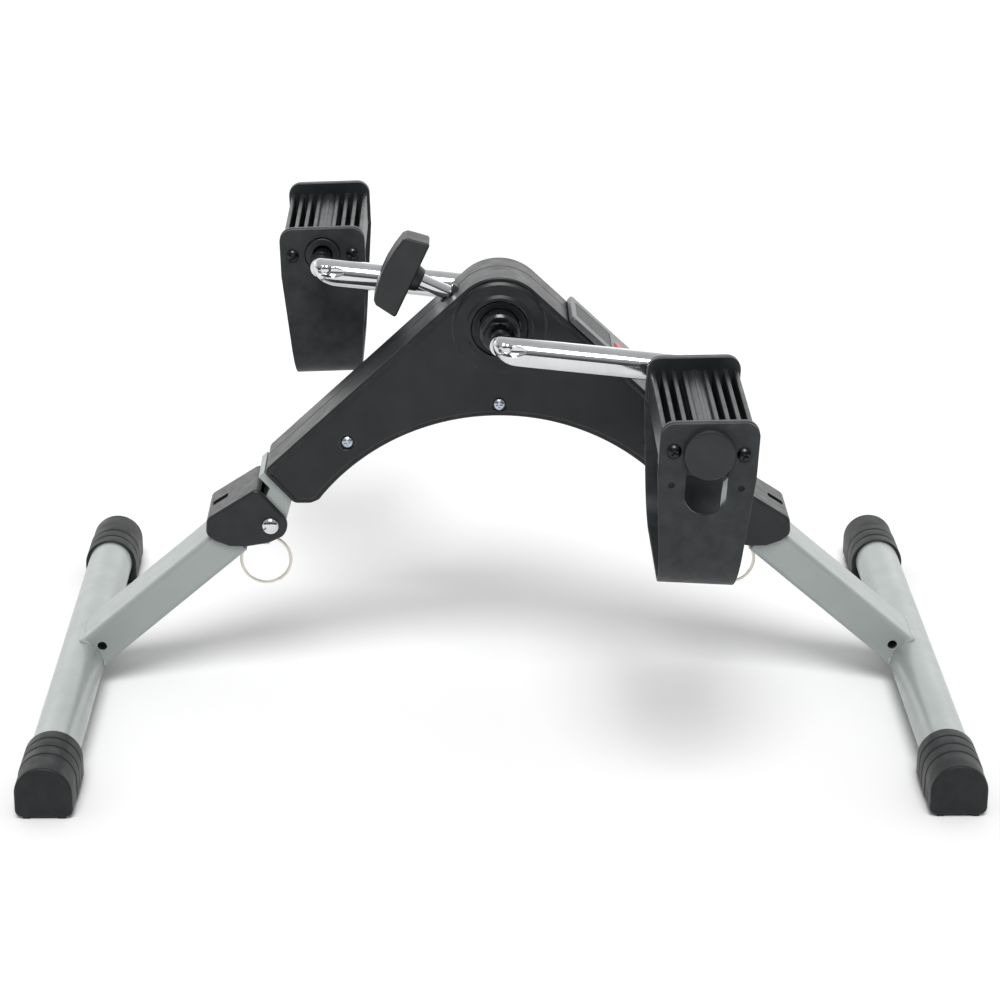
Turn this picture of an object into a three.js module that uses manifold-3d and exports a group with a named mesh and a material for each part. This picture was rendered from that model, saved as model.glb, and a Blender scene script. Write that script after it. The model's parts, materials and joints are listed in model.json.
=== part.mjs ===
// A folding pedal exerciser: two hinged steel legs carry a short arched body, whose crank turns two
// strap pedals against an adjustable friction brake. Millimetres, +X to the right, +Y away from the
// viewer, +Z up. The origin is on the floor, under the middle of the crank axle.
import * as THREE from 'three';
import { mergeVertices } from 'three/addons/utils/BufferGeometryUtils.js';
import Module from 'manifold-3d';

const wasm = await Module();
wasm.setup();

// ---------------------------------------------------------------- driving dimensions

const GAP = 0.3; // between pieces that touch
const LARGE = 400; // longer than anything it cuts

const AXLE_Z = 212; // height of the crank axle
const CRANK_LENGTH = 99; // from the axle to a pedal spindle
const CRANK_ANGLE = degrees(-6.2); // the near arm's direction at rest
const ARM_Y = 55; // middle of a crank arm
const ARM_RADIUS = 7.7;
const ARM_DROP = 2; // the arm tube's centre line passes this far under the axle and the spindle
const ARM_TIP = 4.4; // the tube's ends stand past the axle and the spindle
const AXLE_RADIUS = 6;
const SPINDLE_RADIUS = 5;
const NUT_RADIUS = 9; // axle nuts, over the corners
const NUT_START = 34.4; // from the middle plane
const NUT_HEIGHT = 5;
const BOSS_RADIUS = 5.6; // the stubs that hold the axle and the spindle
const BOSS_REACH = 8.6; // from the tube's centre line

const HALF_BODY = 22; // half the housing's thickness
const WALL = 2.2; // moulded walls
const PARTING_Y = 3; // where the two housing halves meet
const CROWN_RADIUS = 27; // the housing's round top, about the axle
const ARM_SLOPE = degrees(43); // the housing's two arms
const ARM_REACH = 150; // along an arm, from the crown to its end face
const ARM_END_DEPTH = 20; // depth of the end face
const ARCH_RADIUS = 123.5; // the housing's hollow underside
const ARCH_CENTRE_Z = 38.1;
const SCREWS = [[-82, 147], [0, 168.5], [82, 147]]; // housing screws, x and z

const PIVOT = { x: -124.7, z: 98.4 }; // the left leg's hinge
const KNUCKLE_RADIUS = 8.5;
const FRAME_HALF = 17; // half the width of the inner frame
const FRAME_SHEET = 2;

const FOOT_X = 232.25; // foot tube, out from the middle
const FOOT_Z = 15;
const FOOT_TUBE_RADIUS = 12.7;
const TUBE_WALL = 1.5;
const FOOT_LENGTH = 356; // over both end caps
const CAP_LENGTH = 45;
const CAP_HALF = 14.8;
const CAP_BASE = 1; // the cap's flat underside, held up by two pads
const STRUT_DEPTH = 20;
const STRUT_HALF = 17.5; // half its width along Y
const STRUT_OFFSET = 6.5; // its centre line passes this far above the hinge
const STRUT_START = 21; // from the hinge to the tube's upper end, along the tube

const BRACKET_CHEEK = 3;
const BRACKET_HALF = STRUT_HALF + BRACKET_CHEEK;

const TENSION_ANGLE = degrees(155); // the tension screw points out of the axle
const KNOB_DISTANCE = 58; // from the axle to the middle of the handle
const KNOB_LENGTH = 45;
const DRUM_RADIUS = 13;
const BRAKE_GAP = 1.4;

const PEDAL_INNER = 84; // from the middle plane to the inner plate
const PEDAL_OUTER = 187;
const PLATE_HALF = 24;
const PLATE_THICKNESS = 3;
const PLATE_TOP = 15.2;
const PLATE_CORNER = 7;
const PLATE_LEAN = { near: degrees(4), far: 0 }; // how far the plates' top edge rises to the right
const PEDAL_TILT = { near: degrees(3), far: degrees(-1.9) }; // how far each pedal hangs to the left
const STRAP_DEPTH = 75; // lowest point of the strap under the spindle
const STRAP_THICKNESS = 2;
const STRAP_LOW_HALF = 18.6; // half its width at the bottom
const STRAP_HOLE = 10.2; // radius of its hole around the spindle
const SLOT_DROP = 22; // how far the outer leg's hole is drawn out downwards into a slot
const STRAP_BEND = 22; // radius of the strap's lower corners
const SCREW_X = 17; // strap screws, either side of the spindle
const RIBS = 9;
const RIB_PITCH = 5.3;
const RIB_THICKNESS = 2.4;
const RIB_DROP = 7; // the ribs' tops lie this far under the plates' tops
const BARREL_RADIUS = 7.8;

const POD_START = 25; // display, along the right arm from the crown
const POD_LENGTH = 47;
const POD_RISE = 3.9;
const WINDOW_START = POD_START + 3;
const WINDOW_LENGTH = 26;
const WINDOW_HALF = 12.6;
const BUTTON_ALONG = POD_START + 35;

const HUB_RINGS = [[24, 1.2], [17.6, 2.6]]; // raised rings on the hub: radius and height
const RING_RADIUS = 13.7; // pull rings
const RING_WIRE = 0.95;
const RING_CENTRE = { x: -128.8, z: 70.6 };
const BOLT_LIFT = 1.6; // the latch bolt's axis lies this far over the hinge
const BOLT_GAP = 0.5; // from the hinge knuckle to the bolt's tip

function degrees(angle) {
  return (angle * Math.PI) / 180;
}

// ---------------------------------------------------------------- materials

const finish = (name, color, roughness, metalness) =>
  Object.assign(new THREE.MeshStandardMaterial({ color, roughness, metalness }), { name });
const greyPaint = finish('grey paint', 0xa8b1ae, 0.4, 0.25);
const blackPlastic = finish('black plastic', 0x2d3032, 0.5, 0);
const blackRubber = finish('black rubber', 0x2a2b2c, 0.7, 0);
const chrome = finish('chrome', 0xd8dadb, 0.12, 1);
const plainSteel = finish('steel', 0x8f9499, 0.35, 0.9);
const clearPlastic = finish('smoked window', 0x20282c, 0.08, 0);
const redPlastic = finish('red plastic', 0xc2202c, 0.35, 0);
const greenBoard = finish('circuit board', 0x2c5b3c, 0.6, 0);
const feltWool = finish('felt', 0x8a8578, 1, 0);

// ---------------------------------------------------------------- solids

// A closed three.js geometry as a solid that can be joined and cut.
function solid(geometry) {
  const bare = geometry.index ? geometry.toNonIndexed() : geometry.clone();
  bare.deleteAttribute('normal');
  bare.deleteAttribute('uv');
  const merged = mergeVertices(bare, 1e-4);
  return new wasm.Manifold(new wasm.Mesh({
    numProp: 3,
    vertProperties: merged.attributes.position.array,
    triVerts: new Uint32Array(merged.index.array),
  }));
}

function geometryOf(manifold) {
  const mesh = manifold.getMesh();
  const geometry = new THREE.BufferGeometry();
  geometry.setAttribute('position', new THREE.BufferAttribute(mesh.vertProperties, 3));
  geometry.setIndex(new THREE.BufferAttribute(mesh.triVerts, 1));
  geometry.computeVertexNormals();
  return geometry;
}

const join = (first, ...others) => others.reduce((sum, other) => sum.add(other), first);
const cut = (first, ...others) => others.reduce((rest, other) => rest.subtract(other), first);

// An outline in the XZ plane, given as points, made solid from yLow to yHigh.
function slab(points, yLow, yHigh) {
  const shape = new THREE.Shape(points);
  const geometry = new THREE.ExtrudeGeometry(shape, { depth: yHigh - yLow, bevelEnabled: false });
  geometry.rotateX(Math.PI / 2);
  geometry.translate(0, yHigh, 0);
  return solid(geometry);
}

function block([xLow, yLow, zLow], [xHigh, yHigh, zHigh]) {
  const geometry = new THREE.BoxGeometry(xHigh - xLow, yHigh - yLow, zHigh - zLow);
  geometry.translate((xLow + xHigh) / 2, (yLow + yHigh) / 2, (zLow + zHigh) / 2);
  return solid(geometry);
}

// A round bar along Y about (x, z); its ends are at yLow and yHigh.
function barY(x, z, radius, yLow, yHigh, sides = 24) {
  const geometry = new THREE.CylinderGeometry(radius, radius, yHigh - yLow, sides);
  geometry.translate(x, (yLow + yHigh) / 2, z);
  return solid(geometry);
}

// A turned solid along Y about (x, z); the profile is [radius, y] pairs from axis to axis.
function turnedY(x, z, profile, sides = 24) {
  const geometry = new THREE.LatheGeometry(profile.map(([r, y]) => new THREE.Vector2(r, y)), sides);
  geometry.translate(x, 0, z);
  return solid(geometry);
}

// Moves a geometry or solid made along +Z at the origin so that it points along `angle` in the XZ
// plane from (x, z).
function aimed(manifold, x, z, angle) {
  const tilt = (Math.PI / 2 - angle) * (180 / Math.PI);
  return manifold.rotate([0, tilt, 0]).translate([x, 0, z]);
}

// A round bar along +Z, from zLow to zHigh, with its axis at the origin.
function barZ(radius, zLow, zHigh, sides = 20) {
  const geometry = new THREE.CylinderGeometry(radius, radius, zHigh - zLow, sides);
  geometry.rotateX(Math.PI / 2);
  geometry.translate(0, 0, (zLow + zHigh) / 2);
  return solid(geometry);
}

// Points on an arc about (x, z), both ends included.
function arc(x, z, radius, from, to, steps) {
  return Array.from({ length: steps + 1 }, (_, i) => {
    const angle = from + ((to - from) * i) / steps;
    return new THREE.Vector2(x + radius * Math.cos(angle), z + radius * Math.sin(angle));
  });
}

const point = (x, z) => new THREE.Vector2(x, z);
const circle = (x, z, radius, steps) => arc(x, z, radius, 0, 2 * Math.PI, steps).slice(0, -1);

// A closed outline moved inwards by `distance`; the outline runs anticlockwise.
function inset(points, distance) {
  const count = points.length;
  const edges = points.map((p, i) => {
    const along = points[(i + 1) % count].clone().sub(p).normalize();
    return { start: p.clone().add(point(-along.y, along.x).multiplyScalar(distance)), along };
  });
  return edges.map((edge, i) => {
    const before = edges[(i + count - 1) % count];
    const cross = before.along.cross(edge.along);
    if (Math.abs(cross) < 1e-6) return edge.start.clone();
    const reach = edge.start.clone().sub(before.start).cross(edge.along) / cross;
    return before.start.clone().add(before.along.clone().multiplyScalar(reach));
  });
}

const ordered = (a, b) => (a < b ? [a, b] : [b, a]);
const mirrored = (points) => points.map((p) => point(-p.x, p.y)).reverse();

// ---------------------------------------------------------------- places along the left arm

const outward = point(-Math.sin(ARM_SLOPE), Math.cos(ARM_SLOPE)); // square to the arm's top
const downArm = point(-Math.cos(ARM_SLOPE), -Math.sin(ARM_SLOPE)); // along the arm, away from the crown
const armTop = point(0, AXLE_Z).addScaledVector(outward, CROWN_RADIUS); // where the crown runs into the arm

// A point at `along` down the left arm and `depth` under its top surface.
const onArm = (along, depth) => {
  return armTop.clone().addScaledVector(downArm, along).addScaledVector(outward, -depth);
};

// The leg's own directions: down the strut from the hinge, and square to it, upwards.
const strutAngle = Math.atan2(PIVOT.z - FOOT_Z, FOOT_X + PIVOT.x)
  + Math.asin(STRUT_OFFSET / Math.hypot(PIVOT.z - FOOT_Z, FOOT_X + PIVOT.x));
const downStrut = point(-Math.cos(strutAngle), -Math.sin(strutAngle));
const overStrut = point(-Math.sin(strutAngle), Math.cos(strutAngle));
const onStrut = (along, above) => point(PIVOT.x, PIVOT.z)
  .addScaledVector(downStrut, along).addScaledVector(overStrut, above);

// ---------------------------------------------------------------- housing

function housingOutline() {
  const endLow = onArm(ARM_REACH, ARM_END_DEPTH);
  const archFoot = Math.acos(-95.3 / ARCH_RADIUS);
  const left = [
    ...arc(0, AXLE_Z, CROWN_RADIUS, Math.PI / 2, Math.PI / 2 + ARM_SLOPE, 7),
    onArm(ARM_REACH, 0),
    endLow,
    point(endLow.x + 3, endLow.y - 3.5),
    point(endLow.x + 12, endLow.y - 3.5),
    point(endLow.x + 16.5, endLow.y - 1.6),
    ...arc(0, ARCH_CENTRE_Z, ARCH_RADIUS, archFoot, Math.PI / 2, 9),
  ];
  return [...left, ...mirrored(left).slice(1, -1)];
}

function tensionHole(radius) {
  return aimed(barZ(radius, 0, 60), 0, AXLE_Z, TENSION_ANGLE);
}

// The display's seat in the right arm: a box `grow` larger than the case's buried part.
function podSeat(grow) {
  const from = POD_START + 4 - grow;
  const to = POD_START + POD_LENGTH - 4 + grow;
  return podSlab(from, to, -POD_RISE, WALL + GAP + grow, 17 + grow);
}

function armEndOpening() {
  const opening = [
    onArm(ARM_REACH - 12, 4.4),
    onArm(ARM_REACH + 12, 4.4),
    onArm(ARM_REACH + 12, 17),
    onArm(ARM_REACH - 12, 17),
  ];
  const left = slab(opening, -FRAME_HALF - 0.6, FRAME_HALF + 0.6);
  return left.add(left.mirror([1, 0, 0]));
}

function housingHalf(yOuter, yInner) {
  const outline = housingOutline();
  const side = Math.sign(yOuter);
  const inner = ordered(yOuter - side * WALL, -side * LARGE);
  const shell = cut(slab(outline, ...ordered(yOuter, yInner)), slab(inset(outline, WALL), ...inner));
  const rings = HUB_RINGS.map(([radius, height]) => {
    return barY(0, AXLE_Z, radius, ...ordered(yOuter - side, yOuter + side * height), 36);
  });
  return cut(
    join(shell, ...rings),
    barY(0, AXLE_Z, 11.5, -LARGE, LARGE),
    tensionHole(6.4),
    podSeat(GAP),
    armEndOpening(),
  );
}

function frontHousing() {
  const holes = SCREWS.map(([x, z]) => join(
    barY(x, z, 3.6, -HALF_BODY - 1, -HALF_BODY + 1.2, 16),
    barY(x, z, 1.9, -HALF_BODY - 1, 0, 12),
  ));
  return cut(housingHalf(-HALF_BODY, PARTING_Y - GAP / 2), ...holes);
}

const rearHousing = () => housingHalf(HALF_BODY, PARTING_Y + GAP / 2);

// A pan-head screw in the front face, with its shank inside the housing.
const housingScrew = ([x, z]) => turnedY(x, z, [
  [0, -HALF_BODY - 0.9], [2.2, -HALF_BODY - 0.6], [3.2, -HALF_BODY + 0.2], [3.2, -HALF_BODY + 0.9],
  [1.5, -HALF_BODY + 0.9], [1.5, -4], [0, -4],
], 14);

// ---------------------------------------------------------------- inner frame

// Pressed steel channel, open underneath: it runs along both arms under the housing's top, and ends
// in the two hinge knuckles.
function centreFrame() {
  const top = 5.2;
  const bottom = 16;
  const crown = CROWN_RADIUS - WALL - 0.6;
  const neck = onArm(ARM_REACH + 0.6, 0);
  const left = [
    ...arc(0, AXLE_Z, crown, Math.PI / 2, Math.PI / 2 + ARM_SLOPE, 6),
    onArm(12, top),
    onArm(ARM_REACH + 0.6, top),
    neck.clone().addScaledVector(outward, -1.2),
    onArm(ARM_REACH + 4.6, 1.2),
    onArm(ARM_REACH + 4.6, 10),
    ...arc(PIVOT.x, PIVOT.z, KNUCKLE_RADIUS, degrees(137), degrees(318), 10),
    onArm(ARM_REACH + 0.6, ARM_END_DEPTH + 3),
    onArm(ARM_REACH + 0.6, bottom),
    onArm(26, bottom),
    point(-22, AXLE_Z - 23),
    point(-14, AXLE_Z - 30),
  ];
  const outline = [...left, ...mirrored(left).slice(0, -1)];
  const whole = slab(outline, -FRAME_HALF, FRAME_HALF);
  const inside = FRAME_HALF - FRAME_SHEET;
  const hollow = slab(outline.map((p) => point(p.x, p.y - 3)), -inside, inside)
    .intersect(block([-112, -LARGE, 0], [112, LARGE, LARGE]));
  const channel = cut(whole, hollow);
  const pins = [PIVOT.x, -PIVOT.x].map((x) => barY(x, PIVOT.z, 3.3, -LARGE, LARGE, 16));
  return cut(channel, barY(0, AXLE_Z, 9.4, -LARGE, LARGE, 20), tensionHole(6.4), podSeat(0.6), ...pins);
}

// Flanged bush that carries the axle and shows as a dark collar on the hub.
function axleBush(side) {
  const profile = [
    [AXLE_RADIUS + GAP, side * 13.4], [9.1, side * 13.4], [9.1, side * 18], [10.8, side * 18],
    [10.8, side * 32.6], [9.6, side * 34], [AXLE_RADIUS + GAP, side * 34], [AXLE_RADIUS + GAP, side * 13.4],
  ];
  return turnedY(0, AXLE_Z, side > 0 ? profile : profile.reverse(), 28);
}

// ---------------------------------------------------------------- display

function podSlab(from, to, depthTop, depthLow, half) {
  const box = [onArm(from, depthTop), onArm(to, depthTop), onArm(to, depthLow), onArm(from, depthLow)];
  return slab(mirrored(box), -half, half);
}

// A slab under the window's outline, `shrink` smaller all round.
function windowSlab(shrink, depthTop, depthLow) {
  const end = WINDOW_START + WINDOW_LENGTH - shrink;
  return podSlab(WINDOW_START + shrink, end, depthTop, depthLow, WINDOW_HALF - shrink);
}

function displayCase() {
  const end = POD_START + POD_LENGTH;
  const flange = podSlab(POD_START, end, -POD_RISE, -GAP, HALF_BODY - 1.4);
  const body = podSlab(POD_START + 4, end - 4, -POD_RISE + 1, WALL + GAP, 16.7);
  const window = windowSlab(0, -POD_RISE - 1, -POD_RISE + 1.4);
  const pocket = windowSlab(2.3, -POD_RISE, 1);
  const buttonHole = slab(circle(0, 0, 3.7, 16), 0, 4.5).rotate([90, 0, 0]);
  return cut(join(flange, body), window, pocket, placedOnPod(buttonHole, BUTTON_ALONG, -POD_RISE + 3.4));
}

// Moves a solid made along +Z at the origin on to the right arm's top at `along`, `depth` deep.
function placedOnPod(manifold, along, depth) {
  const spot = onArm(along, depth);
  return aimed(manifold, -spot.x, spot.y, Math.PI / 2 - ARM_SLOPE);
}

const displayWindow = () => windowSlab(0.3, -POD_RISE + 0.1, -POD_RISE + 1.1);
const displayBoard = () => windowSlab(2.7, -0.8, 0.7);
const resetButton = () => placedOnPod(barZ(3.4, 0, 3.6), BUTTON_ALONG, -POD_RISE + 2.7);

// ---------------------------------------------------------------- crankset

const armDirection = point(Math.cos(CRANK_ANGLE), Math.sin(CRANK_ANGLE));
const spindleAt = (side) => armDirection.clone().multiplyScalar(-side * CRANK_LENGTH).add(point(0, AXLE_Z));

// A round tube whose ends are closed and rounded up from below; side is -1 near and +1 far. Its two
// shafts leave it on opposite faces.
function crankArm(side) {
  const low = -ARM_DROP - ARM_RADIUS;
  const leftEnd = [
    point(0, ARM_RADIUS - ARM_DROP), point(-3, 4.4), point(-ARM_TIP, 1.4), point(-3.6, -2.2),
    point(0, -6.2), point(4.6, -8.8), point(10, low),
  ];
  const rightEnd = mirrored(leftEnd).map((p) => point(p.x + CRANK_LENGTH, p.y));
  const tube = barZ(ARM_RADIUS, -ARM_TIP - 1, CRANK_LENGTH + ARM_TIP + 1, 28)
    .rotate([0, 90, 0]).translate([0, 0, -ARM_DROP]);
  const profile = slab([...leftEnd, ...rightEnd], -LARGE, LARGE);
  const lying = tube.intersect(profile).translate([0, side * ARM_Y, 0]);
  const axleEnd = side < 0 ? 0 : CRANK_LENGTH;
  const bosses = [0, CRANK_LENGTH].map((x) => {
    const outwards = x === axleEnd ? -side : side;
    return barY(x, 0, BOSS_RADIUS, ...ordered(side * ARM_Y, side * ARM_Y + outwards * BOSS_REACH), 20);
  });
  return join(lying, ...bosses)
    .translate([-axleEnd, 0, 0])
    .rotate([0, -CRANK_ANGLE * (180 / Math.PI), 0])
    .translate([0, 0, AXLE_Z]);
}

// Axle with a hex nut against each bush.
function crankAxle() {
  const end = ARM_Y - BOSS_REACH - GAP;
  const nuts = [-1, 1].map((side) => {
    return barY(0, AXLE_Z, NUT_RADIUS, ...ordered(side * NUT_START, side * (NUT_START + NUT_HEIGHT)), 6);
  });
  return join(barY(0, AXLE_Z, AXLE_RADIUS, -end, end), ...nuts);
}

const brakeDrum = () => cut(
  barY(0, AXLE_Z, DRUM_RADIUS, -8, 8, 32),
  barY(0, AXLE_Z, AXLE_RADIUS + 0.1, -9, 9),
  barY(0, AXLE_Z - 9.5, 2.2, -9, -5, 12),
);
const speedMagnet = () => barY(0, AXLE_Z - 9.5, 2, -8, -5.3, 12);

// The reed switch on the frame that the magnet passes.
const speedSensor = () => block([-5, -12.8, AXLE_Z - 22], [5, -9.5, AXLE_Z - 8.4]);

function pedalSpindle(side) {
  const ends = ordered(side * (ARM_Y + BOSS_REACH + GAP), side * (PEDAL_OUTER + 1));
  return barY(spindleAt(side).x, spindleAt(side).y, SPINDLE_RADIUS, ...ends, 20);
}

// ---------------------------------------------------------------- brake

const tensionScrew = () => aimed(barZ(4, 17.9, KNOB_DISTANCE - 8), 0, AXLE_Z, TENSION_ANGLE);

// T handle: thick bar with a convex outside and a boss towards the screw.
function tensionKnob() {
  const half = KNOB_LENGTH / 2;
  const bulge = 3;
  const outerHalf = half - 2;
  const radius = (outerHalf ** 2 + bulge ** 2) / (2 * bulge);
  const spread = Math.asin(outerHalf / radius);
  const outer = arc(0, 10 - radius, radius, Math.PI / 2 - spread, Math.PI / 2 + spread, 8);
  const outline = [
    point(-half, -7),
    point(-8, -7), point(-6, -11.6), point(6, -11.6), point(8, -7),
    point(half, -7),
    ...outer,
  ];
  const socket = barZ(4.3, -12, -6.5);
  const knob = cut(slab(outline, -9, 9), socket).translate([0, 0, KNOB_DISTANCE]);
  return aimed(knob, 0, AXLE_Z, TENSION_ANGLE);
}

// Ring around the screw, held in the housing and frame.
function tensionBush() {
  const ring = cut(barZ(5.9, 21.6, 30), barZ(4.3, 20, 32));
  return aimed(ring, 0, AXLE_Z, TENSION_ANGLE);
}

// The shoe hugs the drum's upper left; the felt pad lines it.
function brakePiece(inner, outer, half) {
  const points = [
    ...arc(0, 0, outer, degrees(62), degrees(118), 8),
    ...arc(0, 0, inner, degrees(118), degrees(62), 8),
  ];
  return slab(points, -half, half);
}
const padInner = DRUM_RADIUS + BRAKE_GAP;
const feltPad = () => aimed(brakePiece(padInner, padInner + 1.9, 7), 0, AXLE_Z, TENSION_ANGLE);
const brakeShoe = () => aimed(
  cut(brakePiece(padInner + 2.2, padInner + 5.6, 7.5), barZ(4.3, 10, 30)), 0, AXLE_Z, TENSION_ANGLE,
);

// ---------------------------------------------------------------- pedals (in the pedal's own frame)

// The plate's rounded upper corners, from right to left; its top edge rises to the right by the lean.
function plateShoulders(lean, top) {
  const rise = Math.tan(lean) * PLATE_HALF;
  const reach = PLATE_HALF - PLATE_CORNER;
  return [
    ...arc(reach, top + rise - PLATE_CORNER, PLATE_CORNER, 0, Math.PI / 2, 5),
    ...arc(-reach, top - rise - PLATE_CORNER, PLATE_CORNER, Math.PI / 2, Math.PI, 5),
  ];
}

// Tread ribs, end plates and centre barrel in one moulding; side is -1 near and +1 far.
function pedalBody(side, lean) {
  const across = (a, b) => ordered(side * a, side * b);
  const outline = [...plateShoulders(lean, PLATE_TOP), point(-PLATE_HALF, -13), point(PLATE_HALF, -13)];
  const plates = [
    slab(outline, ...across(PEDAL_INNER, PEDAL_INNER + PLATE_THICKNESS)),
    slab(outline, ...across(PEDAL_OUTER - PLATE_THICKNESS, PEDAL_OUTER)),
  ];
  const [ribLow, ribHigh] = across(PEDAL_INNER + 1, PEDAL_OUTER - 1);
  const ribs = Array.from({ length: RIBS }, (_, i) => {
    const x = (i - (RIBS - 1) / 2) * RIB_PITCH;
    const top = PLATE_TOP - RIB_DROP + x * Math.tan(lean);
    return block([x - RIB_THICKNESS / 2, ribLow, -11], [x + RIB_THICKNESS / 2, ribHigh, top]);
  });
  const barrel = barY(0, 0, BARREL_RADIUS, ribLow, ribHigh, 24);
  const boss = barY(0, 0, 9.5, ...across(PEDAL_INNER - 3.4, PEDAL_INNER + 1), 20);
  const bore = barY(0, 0, SPINDLE_RADIUS + 0.4, -LARGE, LARGE, 20);
  return cut(join(...plates, ...ribs, barrel, boss), bore);
}

// Moulded rubber strap: a U that covers both plates and hangs under them. A slot in its outer leg
// runs down from the cap, and its inner leg has a round hole for the boss.
function pedalStrap(side, lean) {
  const outer = PEDAL_OUTER + GAP + STRAP_THICKNESS;
  const inner = PEDAL_INNER - GAP - STRAP_THICKNESS;
  const middle = (outer + inner) / 2;
  const halfSpan = (outer - inner) / 2;
  const section = (grow, top) => {
    const half = halfSpan + grow;
    const low = -STRAP_DEPTH - grow;
    const bend = STRAP_BEND + grow;
    return [
      point(middle + half, top),
      point(middle - half, top),
      ...arc(middle - half + bend, low + bend, bend, Math.PI, 1.5 * Math.PI, 7),
      ...arc(middle + half - bend, low + bend, bend, 1.5 * Math.PI, 2 * Math.PI, 7),
    ];
  };
  const loop = cut(
    slab(section(0, PLATE_TOP + 5), -PLATE_HALF, PLATE_HALF),
    slab(section(-STRAP_THICKNESS, PLATE_TOP + 6), -LARGE, LARGE),
  ).rotate([0, 0, 90]);
  const placed = side > 0 ? loop : loop.mirror([0, 1, 0]);
  const taper = [
    ...plateShoulders(lean, PLATE_TOP - 0.4),
    point(-PLATE_HALF, -12),
    point(-STRAP_LOW_HALF, -STRAP_DEPTH),
    point(-STRAP_LOW_HALF, -STRAP_DEPTH - 1),
    point(STRAP_LOW_HALF, -STRAP_DEPTH - 1),
    point(STRAP_LOW_HALF, -STRAP_DEPTH),
    point(PLATE_HALF, -12),
  ];
  const around = (leg) => ordered(side * (leg - 10), side * (leg + 10));
  const slot = slab([
    ...arc(0, 0, STRAP_HOLE, 0, Math.PI, 10),
    ...arc(0, -SLOT_DROP, STRAP_HOLE, Math.PI, 2 * Math.PI, 10),
  ], ...around(outer));
  const holes = [-SCREW_X, SCREW_X].flatMap((x) => [
    barY(x, 0, 2.1, -LARGE, LARGE, 10),
    barY(x, -17.5, 1.6, ...around(outer), 8),
  ]);
  const bossHole = barY(0, 0, STRAP_HOLE, ...around(inner), 20);
  return cut(placed.intersect(slab(taper, -LARGE, LARGE)), slot, bossHole, ...holes);
}

// The round cap that covers the spindle's outer end.
function pedalCap(side) {
  const profile = [
    [0, PEDAL_OUTER + 7.4], [11.4, PEDAL_OUTER + 7.4], [12.5, PEDAL_OUTER + 6.6], [12.5, PEDAL_OUTER + 2.9],
    [9.4, PEDAL_OUTER + 2.9], [9.4, PEDAL_OUTER + GAP], [6, PEDAL_OUTER + GAP], [6, PEDAL_OUTER + 3],
    [0, PEDAL_OUTER + 3],
  ];
  return turnedY(0, 0, side > 0 ? profile.reverse() : profile.map(([r, y]) => [r, -y]), 28);
}

// A pan-head screw that holds the strap on a plate.
function strapScrew(side, x, outerPlate) {
  const face = outerPlate ? PEDAL_OUTER + GAP + STRAP_THICKNESS : PEDAL_INNER - GAP - STRAP_THICKNESS;
  const outwards = outerPlate ? 1 : -1;
  const profile = [
    [0, face + outwards * 2.2], [2.6, face + outwards * 1.9], [3.6, face + outwards * GAP],
    [1.7, face + outwards * GAP], [1.7, face - outwards * (STRAP_THICKNESS + GAP - 0.1)],
    [0, face - outwards * (STRAP_THICKNESS + GAP - 0.1)],
  ];
  const run = outerPlate === side > 0 ? [...profile].reverse() : profile;
  return turnedY(x, 0, run.map(([r, y]) => [r, side * y]), 14);
}

// ---------------------------------------------------------------- legs (left; the right is its mirror)

function footTube() {
  const half = FOOT_LENGTH / 2 - 3.3;
  return cut(
    barY(-FOOT_X, FOOT_Z, FOOT_TUBE_RADIUS, -half, half, 28),
    barY(-FOOT_X, FOOT_Z, FOOT_TUBE_RADIUS - TUBE_WALL, -LARGE, LARGE, 28),
  );
}

// D-shaped end cap: round over the tube, flat underneath, on two pads; side is -1 front and +1 rear.
function footCap(side) {
  const centre = FOOT_Z - 1.2;
  const corner = 4;
  const body = (grow) => [
    ...arc(-FOOT_X, centre, CAP_HALF + grow, 0, Math.PI, 14),
    ...arc(-FOOT_X - CAP_HALF - grow + corner, CAP_BASE + corner, corner, Math.PI, 1.5 * Math.PI, 3),
    ...arc(-FOOT_X + CAP_HALF + grow - corner, CAP_BASE + corner, corner, 1.5 * Math.PI, 2 * Math.PI, 3),
  ];
  const end = FOOT_LENGTH / 2;
  const y = (a, b) => ordered(side * a, side * b);
  const bands = [end - CAP_LENGTH + 1, end - CAP_LENGTH + 14].map((start) => {
    return slab(body(0.4), ...y(start, start + 9));
  });
  const [padLow, padHigh] = y(end - 14, end - 4);
  const pads = [-9, 9].map((x) => {
    return block([-FOOT_X + x - 2, padLow, 0], [-FOOT_X + x + 2, padHigh, CAP_BASE + 1]);
  });
  return cut(
    join(slab(body(0), ...y(end - CAP_LENGTH, end)), ...pads, ...bands),
    barY(-FOOT_X, FOOT_Z, FOOT_TUBE_RADIUS + GAP, ...y(end - LARGE, end - 3), 28),
  );
}

// Rectangular tube, cut to saddle over the foot tube.
function strut() {
  const low = STRUT_OFFSET - STRUT_DEPTH / 2;
  const high = STRUT_OFFSET + STRUT_DEPTH / 2;
  const reach = onStrut(0, 0).distanceTo(point(-FOOT_X, FOOT_Z));
  const box = (shrink, from, to) => [
    onStrut(from, high - shrink),
    onStrut(to, high - shrink),
    onStrut(to, low + shrink),
    onStrut(from, low + shrink),
  ];
  const drain = onStrut(reach - 16.4, STRUT_OFFSET);
  return cut(
    slab(box(0, STRUT_START, reach), -STRUT_HALF, STRUT_HALF),
    slab(box(TUBE_WALL, STRUT_START - 1, reach + 1), -STRUT_HALF + TUBE_WALL, STRUT_HALF - TUBE_WALL),
    barY(-FOOT_X, FOOT_Z, FOOT_TUBE_RADIUS + GAP, -LARGE, LARGE, 28),
    barY(drain.x, drain.y, 2.7, -LARGE, LARGE, 14),
  );
}

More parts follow.
